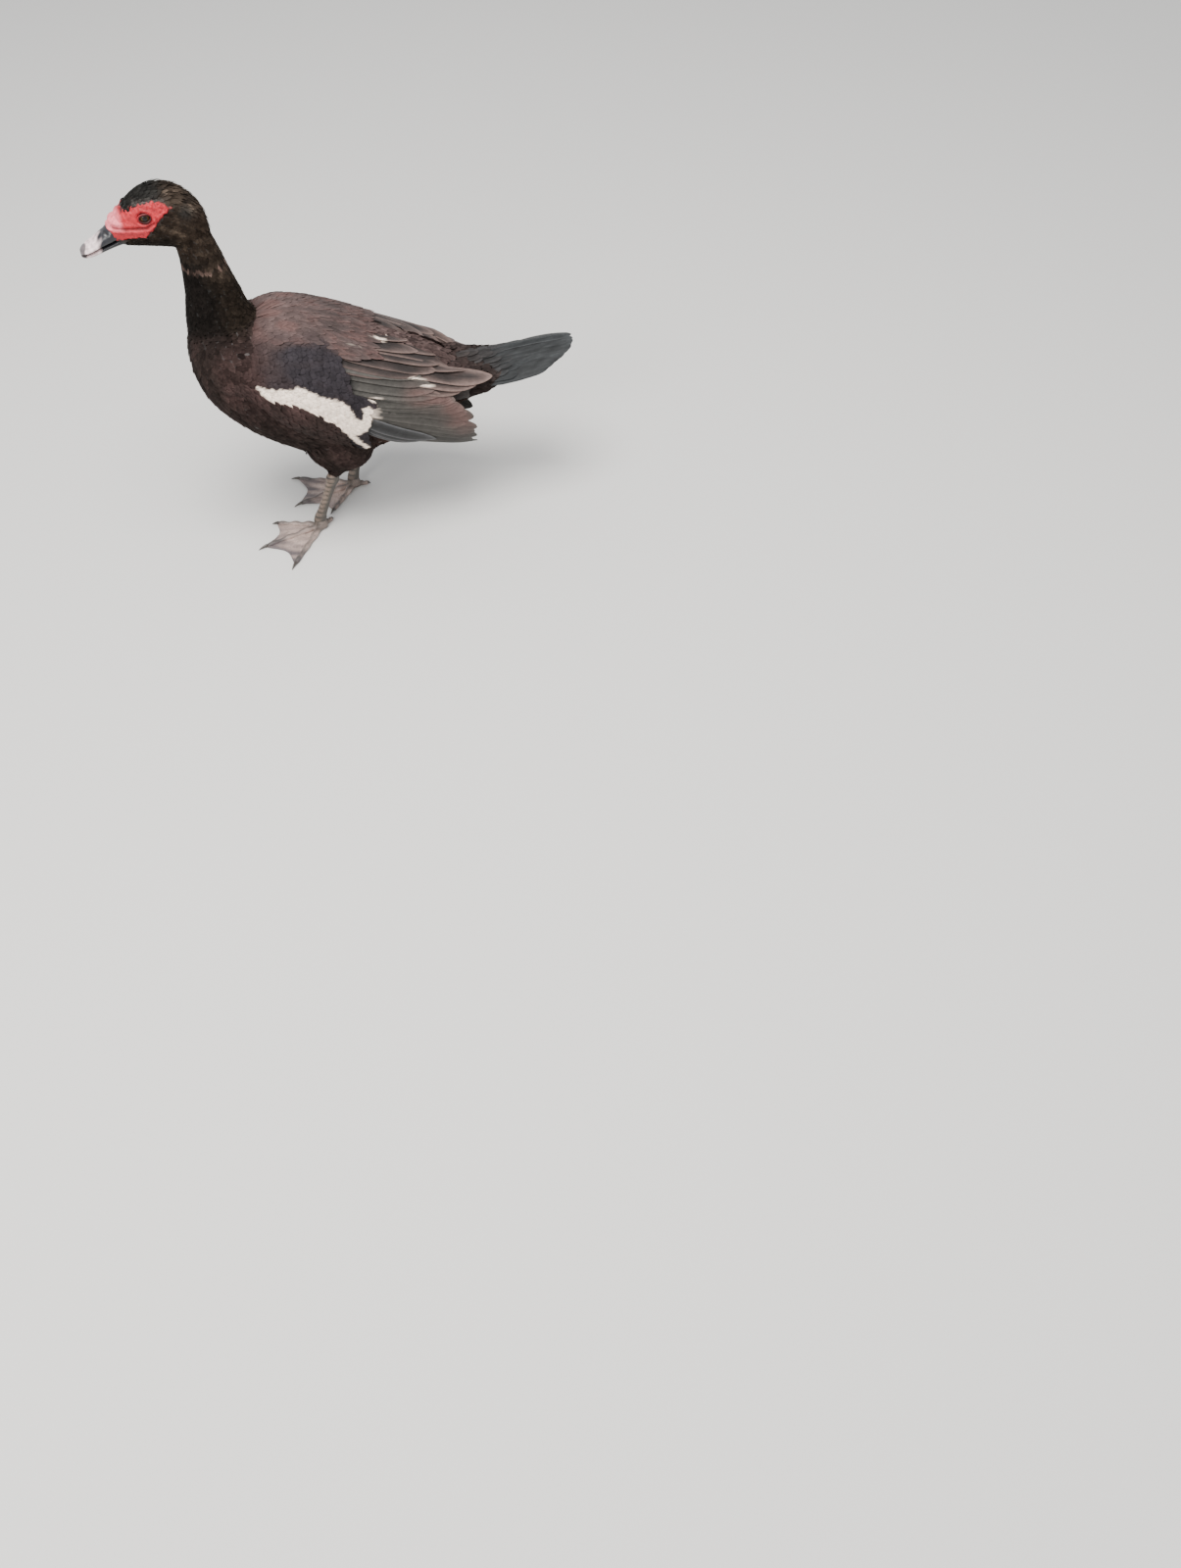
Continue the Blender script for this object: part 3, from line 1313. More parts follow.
def vane_half_widths(t, length, point, sharp):
    """Half width along a vane as a share of the widest; its last stretch closes over point mm."""
    body = 0.5 + 0.5 * smoothstep(0, 0.4, t)
    start = max(1 - point / length, 0.2)
    end = np.clip((t - start) / (1 - start), 0, 1)
    return np.maximum(body * np.clip(1 - end ** 2, 0, 1) ** sharp, 0.05)


def lay_vane(plumes, face, feather, random):
    """One vane on a face: its grid of points, and each point's share along and across."""
    root, tip = np.array(feather["root"], float), np.array(feather["tip"], float)
    t = vane_steps(plumes.rows)
    s = np.linspace(-1, 1, plumes.columns)
    bend = feather.get("bend", 0.0) * np.sin(t * math.pi)
    u = root[0] + (tip[0] - root[0]) * t
    v = root[1] + (tip[1] - root[1]) * t + bend
    low, high = feather["lifts"]
    lift = low + (high - low) * np.sin(t * math.pi / 2)
    centre = face(u, v, lift)
    along = np.gradient(centre, t, axis=0)
    length = np.linalg.norm(centre[-1] - centre[0])
    along /= np.linalg.norm(along, axis=1, keepdims=True)
    up = face(u, v, lift + 1) - centre
    up /= np.linalg.norm(up, axis=1, keepdims=True)
    across = face(u, v + 1, lift) - face(u, v - 1, lift)
    across -= along * np.sum(across * along, axis=1, keepdims=True)
    across /= np.linalg.norm(across, axis=1, keepdims=True)
    half = vane_half_widths(t, length, feather["point"], feather.get("sharp", 0.5)) * feather["width"] / 2
    offset = half[:, None] * s
    drop = feather["tilt"] * offset + feather.get("camber", 0.07) * np.abs(offset) * np.abs(s)
    points = centre[:, None] + across[:, None] * offset[..., None] - up[:, None] * drop[..., None]
    uneven = random.normal(0, 0.18, (plumes.rows, 1)) * np.abs(s) ** 3
    points += along[:, None] * uneven[..., None]
    return points, np.repeat(t, plumes.columns), np.tile(s, plumes.rows)


def vane_edge(t, s):
    """How near a place on a vane is to its edge, 0 to 1."""
    return np.clip(np.abs(s) ** 3 * 0.8 + t ** 8 * 0.7, 0, 1)


def vane_tone(t, s, fringe, random):
    """Shade over a vane: a paler fringe, a darker middle, and a tone of its own."""
    rim = np.clip(np.abs(s) ** 7 + t ** 12, 0, 1)
    return (1 - fringe * 0.25 + fringe * rim) * random.uniform(0.86, 1.14)


def add_wing_vane(plumes, side, feather, random):
    points, t, s = lay_vane(plumes, settled_face(side), feather, random)
    spots = points.reshape(-1, 3)
    x, degrees = wing_place(spots, side)
    tone = vane_tone(t, s, feather["fringe"], random)
    if feather["colour"] == "flank":
        plumes.add(points, body_colours(spots) * tone[:, None])
    else:
        plumes.add(points, wing_colours(x, degrees, vane_edge(t, s), feather["colour"], tone, side))


def settled_face(side):
    """The wing's face, let down to the body's coat in front, under the patch and over the rump."""
    face = wing_face(side)

    def settled(x, degrees, lift):
        below = np.interp(x, *np.array(PATCH_FOOT, float).T) - degrees
        sink = 3.8 * smoothstep(0, -44, x)
        sink = sink + 0.45 * np.maximum(-45 - np.asarray(x, float), 0)
        sink = sink + 4.5 * smoothstep(4, 26, below) * smoothstep(90, 60, x)
        sink = sink + 8.0 * smoothstep(135, 200, x) * smoothstep(52, 74, degrees)
        sink = sink + 8.0 * smoothstep(165, 200, x) * smoothstep(54, 72, degrees)
        if side == RIGHT:
            sink = sink + 11.0 * smoothstep(170, 215, x) * smoothstep(20, 40, degrees)
        return face(x, degrees, lift - sink)
    return settled


# Long feathers of the wing, from the lowest tier out. Places are (along X, degrees up from the side),
# lifts are heights off the wing's outer face at the root and the tip, point is the length of the
# closing end and sharp how pointed it is, each feather lies a step lower than the one above it, and
# flare lifts the last tips.
WING_TIERS = [
    dict(count=5, roots=[(46, -8), (54, -16)], tips=[(184, -40), (172, -46), (156, -48)],
         width=14, point=30, lifts=(-12.4, -10.0), step=0.3, tilt=0.05, colour="grey", fringe=0.2),
    dict(count=14, roots=[(24, 40), (42, -3)],
         tips=[(179, 18), (186, 9), (192, -1), (198, -12), (203, -24), (207, -38), (210, -58)], flare=6,
         width=18, point=26, sharp=0.6, lifts=(-10, -6.4), step=0.15, tilt=0.15, colour="grey", fringe=0.6),
    dict(count=3, roots=[(58, -2), (60, -10)], tips=[(157, -37), (147, -40), (136, -42)],
         width=16, point=40, sharp=0.7, lifts=(-9.4, -2.0), step=0.6, tilt=0.12,
         colour="primary", fringe=0.6),
    dict(count=9, roots=[(16, 46), (34, 2)], tips=[(146, 42), (164, 28), (174, 12), (176, -6), (160, -26)],
         width=18, point=40, sharp=0.7, lifts=(-8.4, -4.4), step=0.3, tilt=0.16, colour="grey", fringe=0.7),
    dict(count=6, roots=[(24, 69), (32, 44)],
         tips=[(172, 79), (190, 70), (207, 60), (227, 47), (216, 39), (196, 29)],
         width=25, point=46, sharp=0.65, lifts=(-7.6, -4.6), step=0.5, tilt=0.15,
         colour="tertial", fringe=0.5),
    dict(count=6, roots=[(24, 72), (32, 46)], tips=[(140, 84), (160, 70), (176, 56), (150, 46), (126, 42)],
         width=22, point=36, sharp=0.6, lifts=(-7.0, -2.8), step=0.4, tilt=0.14,
         colour="tertial", fringe=0.5),
]

# Fields of smaller overlapping feathers: corners of the field, steps of its staggered grid (mm along,
# degrees up), and the feathers' length, width, closing end, lifts and lie (degrees up for each mm)
WING_FIELDS = [
    dict(edge=[(-36, 20), (-28, 7), (-17, 1), (10, 0), (24, -3), (33, -7), (50, -15), (66, -32), (78, -44),
               (80, -36), (84, -10), (92, 4), (94, 12), (60, 15), (0, 23)],
         steps=(4.6, 3.6), length=18, width=8.4, point=5, lifts=(-6.8, -2.6), lie=-0.28,
         colour="covert", fringe=0.05),
    dict(edge=[(-38, 52), (-40, 22), (-20, 17), (30, 19), (74, 12), (70, 34), (62, 60), (-16, 66)],
         steps=(5.2, 3.8), length=19, width=9, point=5.5, lifts=(-6.2, -2.0), lie=-0.08,
         colour="covert", fringe=0.08),
    dict(edge=[(0, 60), (0, 84), (60, 89), (116, 90), (120, 74), (112, 54), (82, 47), (48, 54)],
         steps=(12, 5.2), length=52, width=13, point=26, sharp=0.7, lifts=(-6.8, -1.6), lie=-0.16,
         colour="back", fringe=0.3),
    dict(edge=[(-48, 48), (-36, 64), (-14, 78), (26, 88), (44, 82), (52, 64), (34, 55), (-20, 53)],
         steps=(7.5, 4.0), length=32, width=10, point=14, sharp=0.6, lifts=(-6.6, -1.4), lie=-0.14,
         colour="back", fringe=0.2),
    dict(edge=[(-66, 18), (-44, 18), (-28, 8), (-17, 2), (10, 1.5), (24, -1.5), (33, -5), (50, -13),
               (62, -28), (64, -46), (36, -32), (0, -22), (-40, -12), (-66, 0)],
         steps=(5.0, 3.8), length=17, width=9, point=6, lifts=(-7.5, -1.6), lie=-0.12,
         colour="flank", fringe=0.25),
]


def build_wing(side, material, covert_material):
    """Long feathers and small coverts of one wing, as two pieces."""
    label = side_name(side)
    random = np.random.default_rng(7 if side == LEFT else 19)
    feathers = Plumes(20, 9, 0.4)
    for tier in WING_TIERS:
        for i in range(tier["count"]):
            add_wing_vane(feathers, side, tier_feather(tier, i, random), random)
    coverts = Plumes(9, 5, 0.3)
    for field in WING_FIELDS:
        for feather in field_feathers(field, random):
            add_wing_vane(coverts, side, feather, random)
    return [
        feathers.build(f"wing_feathers_{label}", material),
        coverts.build(f"wing_coverts_{label}", covert_material),
    ]


def tier_feather(tier, i, random):
    share = i / (tier["count"] - 1)
    root, tip = alongside(tier["roots"], share), alongside(tier["tips"], share)
    slack = min(4.0, (tip[0] - root[0]) * 0.04)
    return dict(
        tier,
        root=root + random.normal(0, 0.4, 2),
        tip=tip + random.normal(0, 1, 2) * [slack, 0.6],
        width=tier["width"] * random.uniform(0.93, 1.07),
        lifts=np.array(tier["lifts"]) - tier["step"] * i + [0, tier.get("flare", 0.0) * share ** 2],
        tilt=tier["tilt"] * random.uniform(0.8, 1.2),
        bend=random.normal(0, 0.7),
    )


def alongside(points, share):
    """Point at a share of the way along a line of points."""
    table = np.array(points, float)
    spot = share * (len(table) - 1)
    return np.array([np.interp(spot, np.arange(len(table)), table[:, k]) for k in range(2)])


def field_feathers(field, random):
    """Feathers of a staggered grid, each with its tip inside the field."""
    edge = np.array(field["edge"], float)
    low, high = edge.min(0), edge.max(0)
    step_x, step_degrees = field["steps"]
    spots = []
    for row, x in enumerate(np.arange(low[0], high[0], step_x)):
        shift = step_degrees / 2 if row % 2 else 0.0
        for degrees in np.arange(low[1] + shift, high[1], step_degrees):
            spots.append((x, degrees))
    spots = np.array(spots) + random.normal(0, 1, (len(spots), 2)) * [step_x * 0.16, step_degrees * 0.13]
    spots = spots[polygon_distance(spots * MARK_SCALE, edge * MARK_SCALE) > 0]
    for tip in spots:
        length = field["length"] * random.uniform(0.88, 1.12)
        lift = random.uniform(-0.25, 0.25)
        yield dict(
            field,
            root=tip - np.array([length, length * field["lie"]]),
            tip=tip,
            width=field["width"] * random.uniform(0.9, 1.1),
            lifts=np.array(field["lifts"]) + lift,
            tilt=random.normal(0, 0.03),
        )


# Tail: the line of its top, its bottom and its half width, along X
TAIL = [
    [200, 195, 146, 47],
    [220, 194.5, 153, 45],
    [240, 195.5, 162, 41],
    [262, 197.5, 173, 36],
    [290, 200, 186, 36],
    [336, 202, 198, 36],
]
TAIL_TIP = 336
TAIL_ARCH = 12
TAIL_TIP_ARCH = 2
RECTRIX_PAIRS = 9
# Coverts over and under the tail: root and tip along X, and how many
TAIL_UPPER_ROWS = [
    (212, 278, 9), (208, 262, 10), (204, 247, 10), (196, 232, 11), (186, 218, 11), (176, 205, 10),
]
TAIL_LOWER_ROWS = [(212, 284, 8), (206, 262, 8), (200, 240, 8)]


def tail_top(x, y, lift):
    top, _, half_width = rows_at(TAIL, x)
    arch = np.interp(x, [TAIL[0][0], TAIL_TIP], [TAIL_ARCH, TAIL_TIP_ARCH])
    height = top - arch * (y / half_width) ** 2 + lift
    return np.stack([np.asarray(x, float), np.asarray(y, float), height], -1)


def tail_under(x, y, lift):
    _, bottom, half_width = rows_at(TAIL, x)
    rise = TAIL_ARCH * 0.6 * (y / half_width) ** 2
    return np.stack([np.asarray(x, float), np.asarray(y, float), bottom + rise - lift], -1)


def build_tail(material):
    random = np.random.default_rng(41)
    plumes = Plumes(18, 9, 0.4)
    for k in reversed(range(RECTRIX_PAIRS)):
        share = k / (RECTRIX_PAIRS - 1)
        for side in (LEFT, RIGHT):
            lift = -4.5 - 1.1 * k - (0.5 if side == RIGHT else 0)
            add_tail_vane(plumes, tail_top, random, dict(
                root=(205, side * (4.5 + 28 * share)),
                tip=(TAIL_TIP - 34 * share ** 1.9 + random.uniform(-1.5, 0.5), side * (4.5 + 27 * share)),
                width=18, point=20, sharp=0.6, lifts=(lift, lift + 3.4), tilt=0.2 * side, camber=0.12,
                colour=TAIL_BLUE, fringe=0.9,
            ))
    for face, rows, spread in ((tail_top, TAIL_UPPER_ROWS, 31), (tail_under, TAIL_LOWER_ROWS, 21)):
        for row, (root_x, tip_x, count) in enumerate(rows):
            for i in range(count):
                across = ((i + 0.5 * (row % 2)) / (count - 1) * 2 - 1) * spread
                fall = 8 if face is tail_top else 0
                tip = tip_x - 12 * (across / spread) ** 2 + random.uniform(-7, 7)
                add_tail_vane(plumes, face, random, dict(
                    root=(root_x, across), tip=(tip, across * 1.05 + random.normal(0, 0.7)),
                    width=12, point=11,
                    lifts=np.array([-6 + row * 0.6, -2.2 + row * 0.4]) - fall * abs(across / spread),
                    tilt=0.0, camber=0.14,
                    colour=mix(TAIL_BLUE, TAIL_BROWN, row / len(rows)) if face is tail_top else UNDERTAIL,
                    fringe=0.5,
                ))
    return plumes.build("tail_feathers", material)


def add_tail_vane(plumes, face, random, feather):
    feather["width"] *= random.uniform(0.94, 1.06)
    feather["bend"] = random.normal(0, 0.3)
    points, t, s = lay_vane(plumes, face, feather, random)
    tone = vane_tone(t, s, feather["fringe"], random)
    streak = 1 + 0.32 * noise(points.reshape(-1, 3) * [0.15, 1, 1], 3, 71)
    plumes.add(points, np.tile(feather["colour"], (len(t), 1)) * (tone * streak)[:, None])


# Bill

def build_bill(material):
    table = smooth_rows(BILL, 8)
    count = 44
    upper, lower = [], []
    for x, top, mouth, bottom, half_width in table:
        upper.append(section_ring([x, top, mouth + 2.4, mouth + 0.15, half_width], count, -0.15))
        lower_row = [x, mouth - 0.15, (mouth + bottom) / 2, bottom, half_width * 0.86]
        lower.append(section_ring(lower_row, count, -0.15))
    pieces = []
    for name, rings, node in (("bill_top", upper, "bill_upper"), ("bill_base", lower, "bill_lower")):
        rings = np.array(rings)
        local = rings.reshape(-1, 3)
        shaped = shape_bill(local.copy(), name == "bill_top")
        piece = new_object(name, turn_head(shaped), loft_faces(len(rings), count), material)
        fix_normals(piece.data)
        soften = piece.modifiers.new("round", "SUBSURF")
        soften.levels = 1
        soften.render_levels = 1
        apply_modifiers(piece)
        local = turn_head(mesh_points(piece.data), -HEAD_YAW)
        set_colours(piece.data, bill_colours(local, name == "bill_top"))
        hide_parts(node)
        pieces.append(piece)
    return pieces


def shape_bill(local, is_top):
    """Nostrils, the nail and the overhanging edge of the upper bill."""
    if is_top:
        along, rise = nostril_frame(local)
        hole = np.exp(-((along / 2.6) ** 2 + (rise / 1.1) ** 2) ** 1.5)
        local[:, 1] -= np.sign(local[:, 1]) * hole * 1.8 * (np.abs(local[:, 1]) > 4)
        nail = np.exp(-(((local[:, 0] + 177.5) / 4) ** 2 + (local[:, 1] / 4) ** 2) ** 2)
        local[:, 2] += nail * 0.9 * (local[:, 2] > 368)
    return local


def bill_colours(local, is_top):
    """Slate at the base, pinkish white in front, a dark nail and nostrils."""
    slate = np.array([0.013, 0.0135, 0.017])
    pale = np.array([0.70, 0.56, 0.56])
    dark = np.array([0.030, 0.026, 0.028])
    edge = -160.5 + 2.5 * noise(local, 9, 51) + (local[:, 2] - 378) * 0.25
    front = smoothstep(3, -3, local[:, 0] - edge)
    colour = mix(np.tile(slate, (len(local), 1)), pale, front)
    colour = colour * (1 + 0.2 * noise(local, 5, 52)[:, None])
    nail = 1 - smoothstep(0.8, 1.3, ((local[:, 0] + 181) / 7) ** 2 + (local[:, 1] / 12) ** 2)
    colour = mix(colour, dark * 1.6, nail * 0.9)
    above_mouth = local[:, 2] - rows_at(np.array(BILL)[::-1], local[:, 0])[1]
    colour = mix(colour, dark * 2, np.exp(-(above_mouth / 0.9) ** 2) * 0.7)
    if is_top:
        along, rise = nostril_frame(local)
        hole = 1 - smoothstep(0.5, 1.1, (along / 2.4) ** 2 + (rise / 1.0) ** 2)
        colour = mix(colour, dark * 0.4, hole)
    else:
        colour = colour * 0.85
    return np.clip(colour, 0.004, 1)


def nostril_frame(local):
    """Distances along and across the nostril's slanting slot."""
    x, z = local[:, 0] - NOSTRIL[0], local[:, 2] - NOSTRIL[1]
    along = x * math.cos(BILL_SLOPE) - z * math.sin(BILL_SLOPE)
    rise = x * math.sin(BILL_SLOPE) + z * math.cos(BILL_SLOPE)
    return along, rise


# Eyes and lids

def eye_material():
    material, nodes, links, shader = node_material("eye_gloss")
    coat = coat_socket(nodes)
    tone = math_node(nodes, links, "ADD", object_noise(nodes, links, 1400.0, 3.0), 0.5)
    links.new(scaled_colour(nodes, links, coat.outputs["Color"], tone), shader.inputs["Base Color"])
    shader.inputs["Roughness"].default_value = 0.22
    shader.inputs["Specular IOR Level"].default_value = 0.3
    return material


def build_eye(side, material):
    label = side_name(side)
    rings, count = 26, 40
    points = []
    for i in range(rings):
        polar = math.pi * (i + 0.5) / rings
        radius = EYE_RADIUS * (1 + 0.05 * max(0.0, math.cos(polar)) ** 6)
        angle = round_angles(count)
        points.append(np.stack([
            np.cos(angle) * math.sin(polar) * radius,
            np.full(count, side * math.cos(polar) * radius),
            np.sin(angle) * math.sin(polar) * radius,
        ], 1))
    shape = np.concatenate(points) * 0.985
    local = shape + EYE_PLACE * [1, side, 1]
    piece = new_object(f"eyeball_{label}", turn_head(local), loft_faces(rings, count), material)
    fix_normals(piece.data)
    out = np.hypot(shape[:, 0], shape[:, 2])
    iris = np.array([0.075, 0.040, 0.012])
    colour = mix(np.tile(np.array([0.004, 0.003, 0.003]), (len(shape), 1)), iris, smoothstep(2.5, 2.9, out))
    colour = mix(colour, np.array([0.006, 0.004, 0.003]), smoothstep(3.9, 4.4, out))
    set_colours(piece.data, colour)
    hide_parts(f"eye_{label}")
    return piece


def build_lids(side, material):
    """Soft rim round the eye opening, thicker above."""
    label = side_name(side)
    around, across = 56, 9
    rings = []
    for i in range(around):
        angle = 2 * math.pi * i / around
        inner = np.array([math.cos(angle) * 4.9, math.sin(angle) * 3.3])
        inner[1] += 0.35 * math.cos(angle) ** 2
        ring = []
        for j in range(across):
            s = j / (across - 1)
            spread = 1 + s * (0.62 if math.sin(angle) > 0 else 0.52)
            x, z = inner * spread
            surface = math.sqrt(max((EYE_RADIUS + 0.25) ** 2 - inner[0] ** 2 - inner[1] ** 2, 0.0))
            outer = surface * (1 - s) + (EYE_RADIUS - 0.9) * s
            bulge = 0.75 * math.sin(math.pi * min(s * 1.2, 1.0)) + 0.15
            ring.append([x, side * (outer + bulge), z])
        rings.append(ring)
    shape = np.array(rings).reshape(-1, 3)
    local = shape + EYE_PLACE * [1, side, 1]
    faces = []
    for i in range(around):
        for j in range(across - 1):
            k = (i + 1) % around
            faces.append((i * across + j, i * across + j + 1, k * across + j + 1, k * across + j))
    piece = new_object(f"lids_{label}", turn_head(local), faces, material)
    fix_normals(piece.data)
    s = np.tile(np.linspace(0, 1, across), around)
    colour = mix(np.tile(DARK_RED * 0.12, (len(shape), 1)), skin_colours(local), smoothstep(0.1, 0.75, s))
    set_colours(piece.data, np.clip(colour, 0.003, 1))
    set_values(piece.data, s, "bare")
    thicken(piece, LID_THICKNESS)
    return piece


# Legs and feet

SCUTE_COUNT = 10
LEG_PINK = np.array([0.225, 0.160, 0.122])
LEG_GREY = np.array([0.068, 0.060, 0.050])
WEB_PINK = np.array([0.46, 0.345, 0.30])
WEB_GREY = np.array([0.105, 0.085, 0.088])
CLAW = np.array([0.045, 0.036, 0.030])
# Knuckle where the toes meet: heights over the ankle, half depths and half widths
KNUCKLE_RISES = (-12.8, -11, -8, -5, -2, 0.5, 2.5)
KNUCKLE_DEPTHS = [5, 8.2, 9.0, 8.4, 7.6, 6.8, 6.2]
KNUCKLE_WIDTHS = [5, 7.6, 8.2, 7.8, 7.2, 6.6, 6.2]


def build_leg(side, material):
    label = side_name(side)
    hock, ankle = hock_point(side), leg_point(ANKLE, side)
    table = smooth_rows(SHIN, 10)
    count = 36
    centres = hock + np.outer(table[:, 0], ankle - hock)
    rings = tube_rings(centres, table[:, 1], table[:, 2], count)
    angle = round_angles(count)
    steps = np.arange(len(table))
    scute = 0.22 * np.cos(steps * 2 * math.pi / 4)[:, None] * np.clip(np.sin(angle + math.pi), 0, 1)[None, :]
    outward = rings - centres[:, None]
    outward /= np.linalg.norm(outward, axis=2, keepdims=True)
    rings = rings + outward * scute[..., None]
    piece = new_object(f"shin_{label}", rings.reshape(-1, 3), loft_faces(len(rings), count), material)
    fix_normals(piece.data)
    points = mesh_points(piece.data)
    down = (hock[2] - points[:, 2]) / (hock[2] - ankle[2])
    front = smoothstep(2.5, -2.5, points[:, 0] - hock[0] - (ankle[0] - hock[0]) * down)
    line = np.abs((down * SCUTE_COUNT) % 1 - 0.5) * 2
    pink = front * (0.9 - 0.45 * smoothstep(0.3, 1.0, down))
    colour = mix(np.tile(LEG_GREY, (len(points), 1)), LEG_PINK, pink)
    colour = mix(colour, LEG_GREY * 0.55, smoothstep(0.5, 0.9, line) * (0.35 + 0.65 * front))
    set_colours(piece.data, np.clip(colour * (1 + 0.15 * noise(points, 12, 61)[:, None]), 0.01, 1))
    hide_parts(f"leg_{label}")
    return piece


def toe_directions(side):
    return [
        (MIDDLE_TOE, FOOT_TURN),
        (OUTER_TOE, FOOT_TURN - side * OUTER_ANGLE),
        (INNER_TOE, FOOT_TURN + side * INNER_ANGLE),
        (HIND_TOE, FOOT_TURN + math.pi + side * HIND_TOE_ANGLE),
    ]


def toe_point(ankle, length, angle, share, across=0.0, height=0.0):
    x = ankle[0] - math.cos(angle) * length * share - math.sin(angle) * across
    y = ankle[1] - math.sin(angle) * length * share + math.cos(angle) * across
    return np.array([x, y, height])


def toe_rings(ankle, length, angle, end, count):
    """Toe with swollen joints, flat under the sole."""
    rings = []
    shares = np.linspace(-0.04, end, 26)
    for share in shares:
        swell = 1 + 0.16 * math.cos((share / 0.26) * 2 * math.pi)
        height = np.interp(share, [0, 0.3, 0.6, 0.86, 1], [8.6, 6.6, 5.6, 4.6, 3.0]) * swell
        half = height * 0.55
        if share > end - 0.03:
            height, half = height * 0.7, half * 0.7
        angles = round_angles(count)
        ring = []
        for a in angles:
            z = max(height * 0.45 + math.sin(a) * height * 0.55, 0.05)
            ring.append(toe_point(ankle, length, angle, share, math.cos(a) * half, z))
        rings.append(ring)
    return np.array(rings)


def claw_rings(ankle, length, angle, count):
    rings = []
    for step in range(10):
        s = step / 9
        share = 0.86 + 0.14 * s
        radius = 1.9 * (1 - s) ** 0.7 + 0.12
        height = 2.6 * (1 - s * s) + 0.35
        angles = round_angles(count)
        ring = []
        for a in angles:
            z = max(height + math.sin(a) * radius, 0.05)
            ring.append(toe_point(ankle, length, angle, share, math.cos(a) * radius, z))
        rings.append(ring)
    return np.array(rings)


def web_sheet(ankle, first, second, rows, columns):
    """Web between two toes, sagging to the ground, with its edge drawn back."""
    points = np.zeros((rows, columns, 3))
    for i in range(rows):
        for j in range(columns):
            s = j / (columns - 1)
            bay = 1 - WEB_BAY * math.sin(math.pi * s) ** 1.2
            reach = (0.02 + 0.87 * i / (rows - 1)) * (bay if i else 1)
            a = toe_point(ankle, first[0], first[1], reach)
            b = toe_point(ankle, second[0], second[1], reach)
            point = a * (1 - s) + b * s
            sag = math.sin(math.pi * s)
            fold = 0.35 * math.cos(s * math.pi * 10) * (i / rows) * sag
            point[2] = 3.4 * (1 - 0.62 * sag) * (1 - 0.45 * i / rows) + fold + 0.5
            points[i, j] = point
    return points


def build_foot(side, material, claw_material):
    label = side_name(side)
    ankle = leg_point(ANKLE, side)
    toes = toe_directions(side)
    parts = [toe_rings(ankle, length, angle, 0.88, 16) for length, angle in toes]
    knuckle = [ankle + [0, 0, rise] for rise in KNUCKLE_RISES]
    parts.append(tube_rings(knuckle, KNUCKLE_DEPTHS, KNUCKLE_WIDTHS, 24))
    toe_piece = new_object(f"toes_{label}", *join_lofts(parts), material)
    fix_normals(toe_piece.data)
    fuse_parts(toe_piece, TOE_VOXEL, 3)
    colour_foot(toe_piece, toes, ankle)
    webs = []
    rows, columns = 22, 22
    for first, second in ((toes[1], toes[0]), (toes[0], toes[2])):
        webs.append(web_sheet(ankle, first, second, rows, columns).reshape(-1, 3))
    web_piece = new_object(
        f"web_{label}", np.concatenate(webs), [tuple(f) for f in grid_faces(2, rows, columns)], material
    )
    thicken(web_piece, WEB_THICKNESS)
    keep_above_ground(web_piece)
    colour_foot(web_piece, toes, ankle)
    claws = [claw_rings(ankle, length, angle, 12) for length, angle in toes]
    claw_piece = new_object(f"claws_{label}", *join_lofts(claws), claw_material)
    fix_normals(claw_piece.data)
    set_colours(claw_piece.data, np.tile(CLAW, (len(claw_piece.data.vertices), 1)))
    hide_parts(f"foot_{label}")
    return [toe_piece, web_piece, claw_piece]


def keep_above_ground(piece):
    points = mesh_points(piece.data)
    points[:, 2] = np.maximum(points[:, 2], 0.05)
    move_points(piece.data, points)


def colour_foot(piece, toes, ankle):
    """Pinkish webs that darken towards their edge, with dark lines along the toes."""
    points = mesh_points(piece.data)
    ridge = np.zeros(len(points))
    for length, angle in toes:
        end = toe_point(ankle, length, angle, 1.0)
        distance = segment_distance(points[:, :2], ankle[:2], end[:2])
        ridge = np.maximum(ridge, np.exp(-(distance / 2.6) ** 2))
    reach = np.linalg.norm(points[:, :2] - ankle[:2], axis=1) / MIDDLE_TOE
    grey = smoothstep(0.38, 0.80, reach) + 0.3 * noise(points, 13, 63)
    colour = mix(WEB_PINK, WEB_GREY, np.clip(grey, 0, 1))
    colour = mix(colour, LEG_GREY, smoothstep(0.22, 0.08, reach) * 0.7)
    colour = mix(colour, LEG_GREY * 0.8, ridge * 0.7)
    set_colours(piece.data, np.clip(colour, 0.01, 1))


# Studio

def build_stage():
    mesh = bpy.data.meshes.new("floor")
    size = 12.0
    corners = [(-size, -size, 0), (size, -size, 0), (size, size, 0), (-size, size, 0)]
    mesh.from_pydata(corners, [], [(0, 1, 2, 3)])
    floor = bpy.data.objects.new("floor", mesh)
    bpy.context.scene.collection.objects.link(floor)
    material, _, _, shader = node_material("pale_floor")
    shader.inputs["Base Color"].default_value = (0.62, 0.61, 0.59, 1)
    shader.inputs["Roughness"].default_value = 0.85
    mesh.materials.append(material)


def add_light(name, where, target, size, power, colour=(1, 1, 1)):
    data = bpy.data.lights.new(name, "AREA")
    data.shape = "DISK"
    data.size = size
    data.energy = power
    data.color = colour
    light = bpy.data.objects.new(name, data)
    light.location = where
    light.rotation_euler = (Vector(target) - Vector(where)).to_track_quat("-Z", "Y").to_euler()
    bpy.context.scene.collection.objects.link(light)


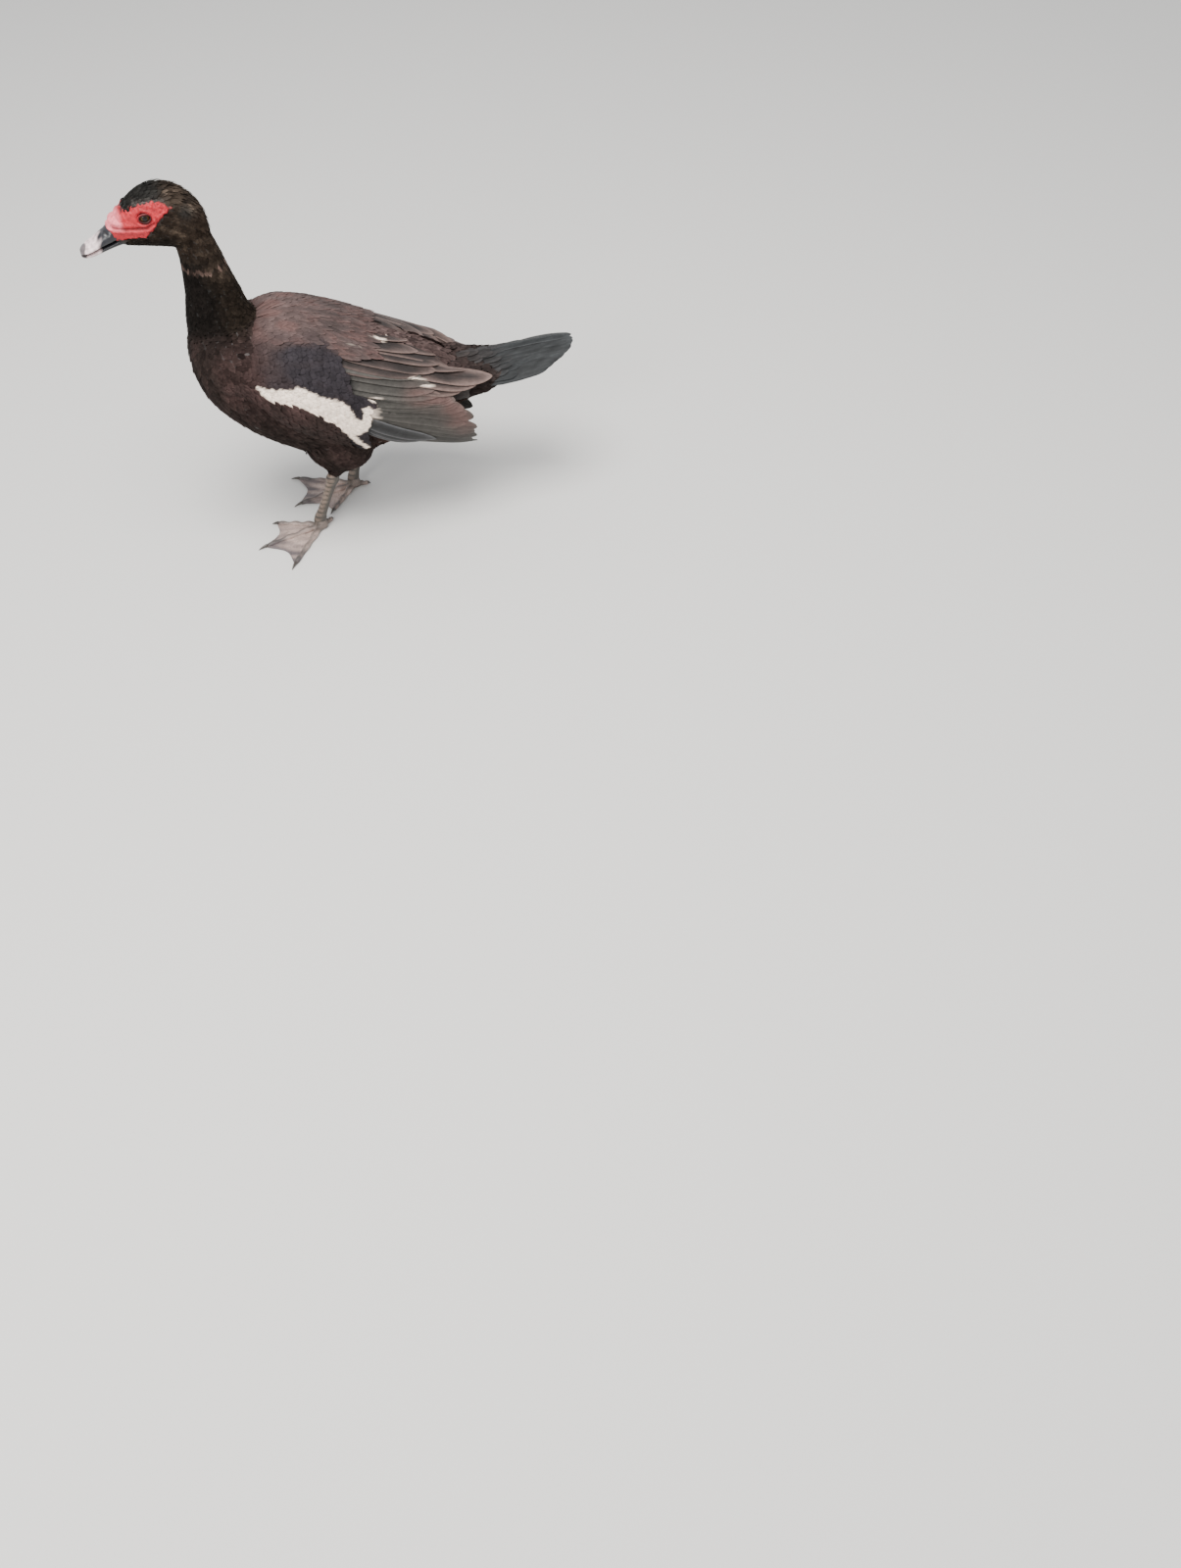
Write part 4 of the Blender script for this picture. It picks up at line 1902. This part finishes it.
def build_studio():
    build_stage()
    world = bpy.data.worlds.new("studio")
    world.use_nodes = True
    background = world.node_tree.nodes["Background"]
    background.inputs[0].default_value = (0.95, 0.97, 1.0, 1)
    background.inputs[1].default_value = 0.95
    bpy.context.scene.world = world
    add_light("overhead", (-0.2, -0.7, 2.5), (0, 0, 0.2), 1.6, 110, (1, 0.98, 0.95))
    add_light("side", (-1.2, -2.0, 1.6), (0, 0, 0.2), 1.0, 34, (1, 0.98, 0.95))


def build_camera():
    data = bpy.data.cameras.new("camera")
    data.lens = CAMERA_LENS
    data.sensor_fit = "VERTICAL"
    data.sensor_height = 36
    data.clip_start = 0.05
    camera = bpy.data.objects.new("camera", data)
    camera.location = place(CAMERA_PLACE[None])[0]
    camera.rotation_euler = (CAMERA_PITCH, 0, CAMERA_TURN)
    bpy.context.scene.collection.objects.link(camera)
    bpy.context.scene.camera = camera


def build_duck():
    body_vanes = feather_material("body_feathers", 9, 0.25, 0.25, 0.75, 0.03, 0.35)
    flight_vanes = feather_material("flight_feathers", 60, 0.14, 0.12, 0.5, 0.12, 0.30)
    covert_vanes = feather_material("covert_feathers", 14, 0.14, 0.14, 0.6, 0.05, 0.25)
    horn = horn_material("bill_horn", 0.32, 420.0, 0.12)
    claw = horn_material("claw_horn", 0.35, 300.0, 0.2)
    scales = scale_material()
    eye = eye_material()
    skin = build_skin()
    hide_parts("torso", "neck", "head", "thigh_left", "thigh_right")
    pieces = [skin]
    skin_map = SkinMap(skin.data)
    coat = build_contour_coat(skin_map, body_vanes)
    coat.append(build_crest(skin_map, body_vanes))
    pieces += coat
    face_skin = skin.data.materials[0]
    for side, label in ((LEFT, "left"), (RIGHT, "right")):
        feathers, coverts = build_wing(side, flight_vanes, covert_vanes)
        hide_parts(f"wing_{label}")
        pieces += [feathers, coverts]
        pieces += [build_eye(side, eye), build_lids(side, face_skin), build_leg(side, scales)]
        pieces += build_foot(side, scales, claw)
    tail = build_tail(flight_vanes)
    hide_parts("tail")
    pieces.append(tail)
    pieces += build_bill(horn)
    for piece in pieces:
        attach(piece, "root")


build_duck()
build_studio()
build_camera()
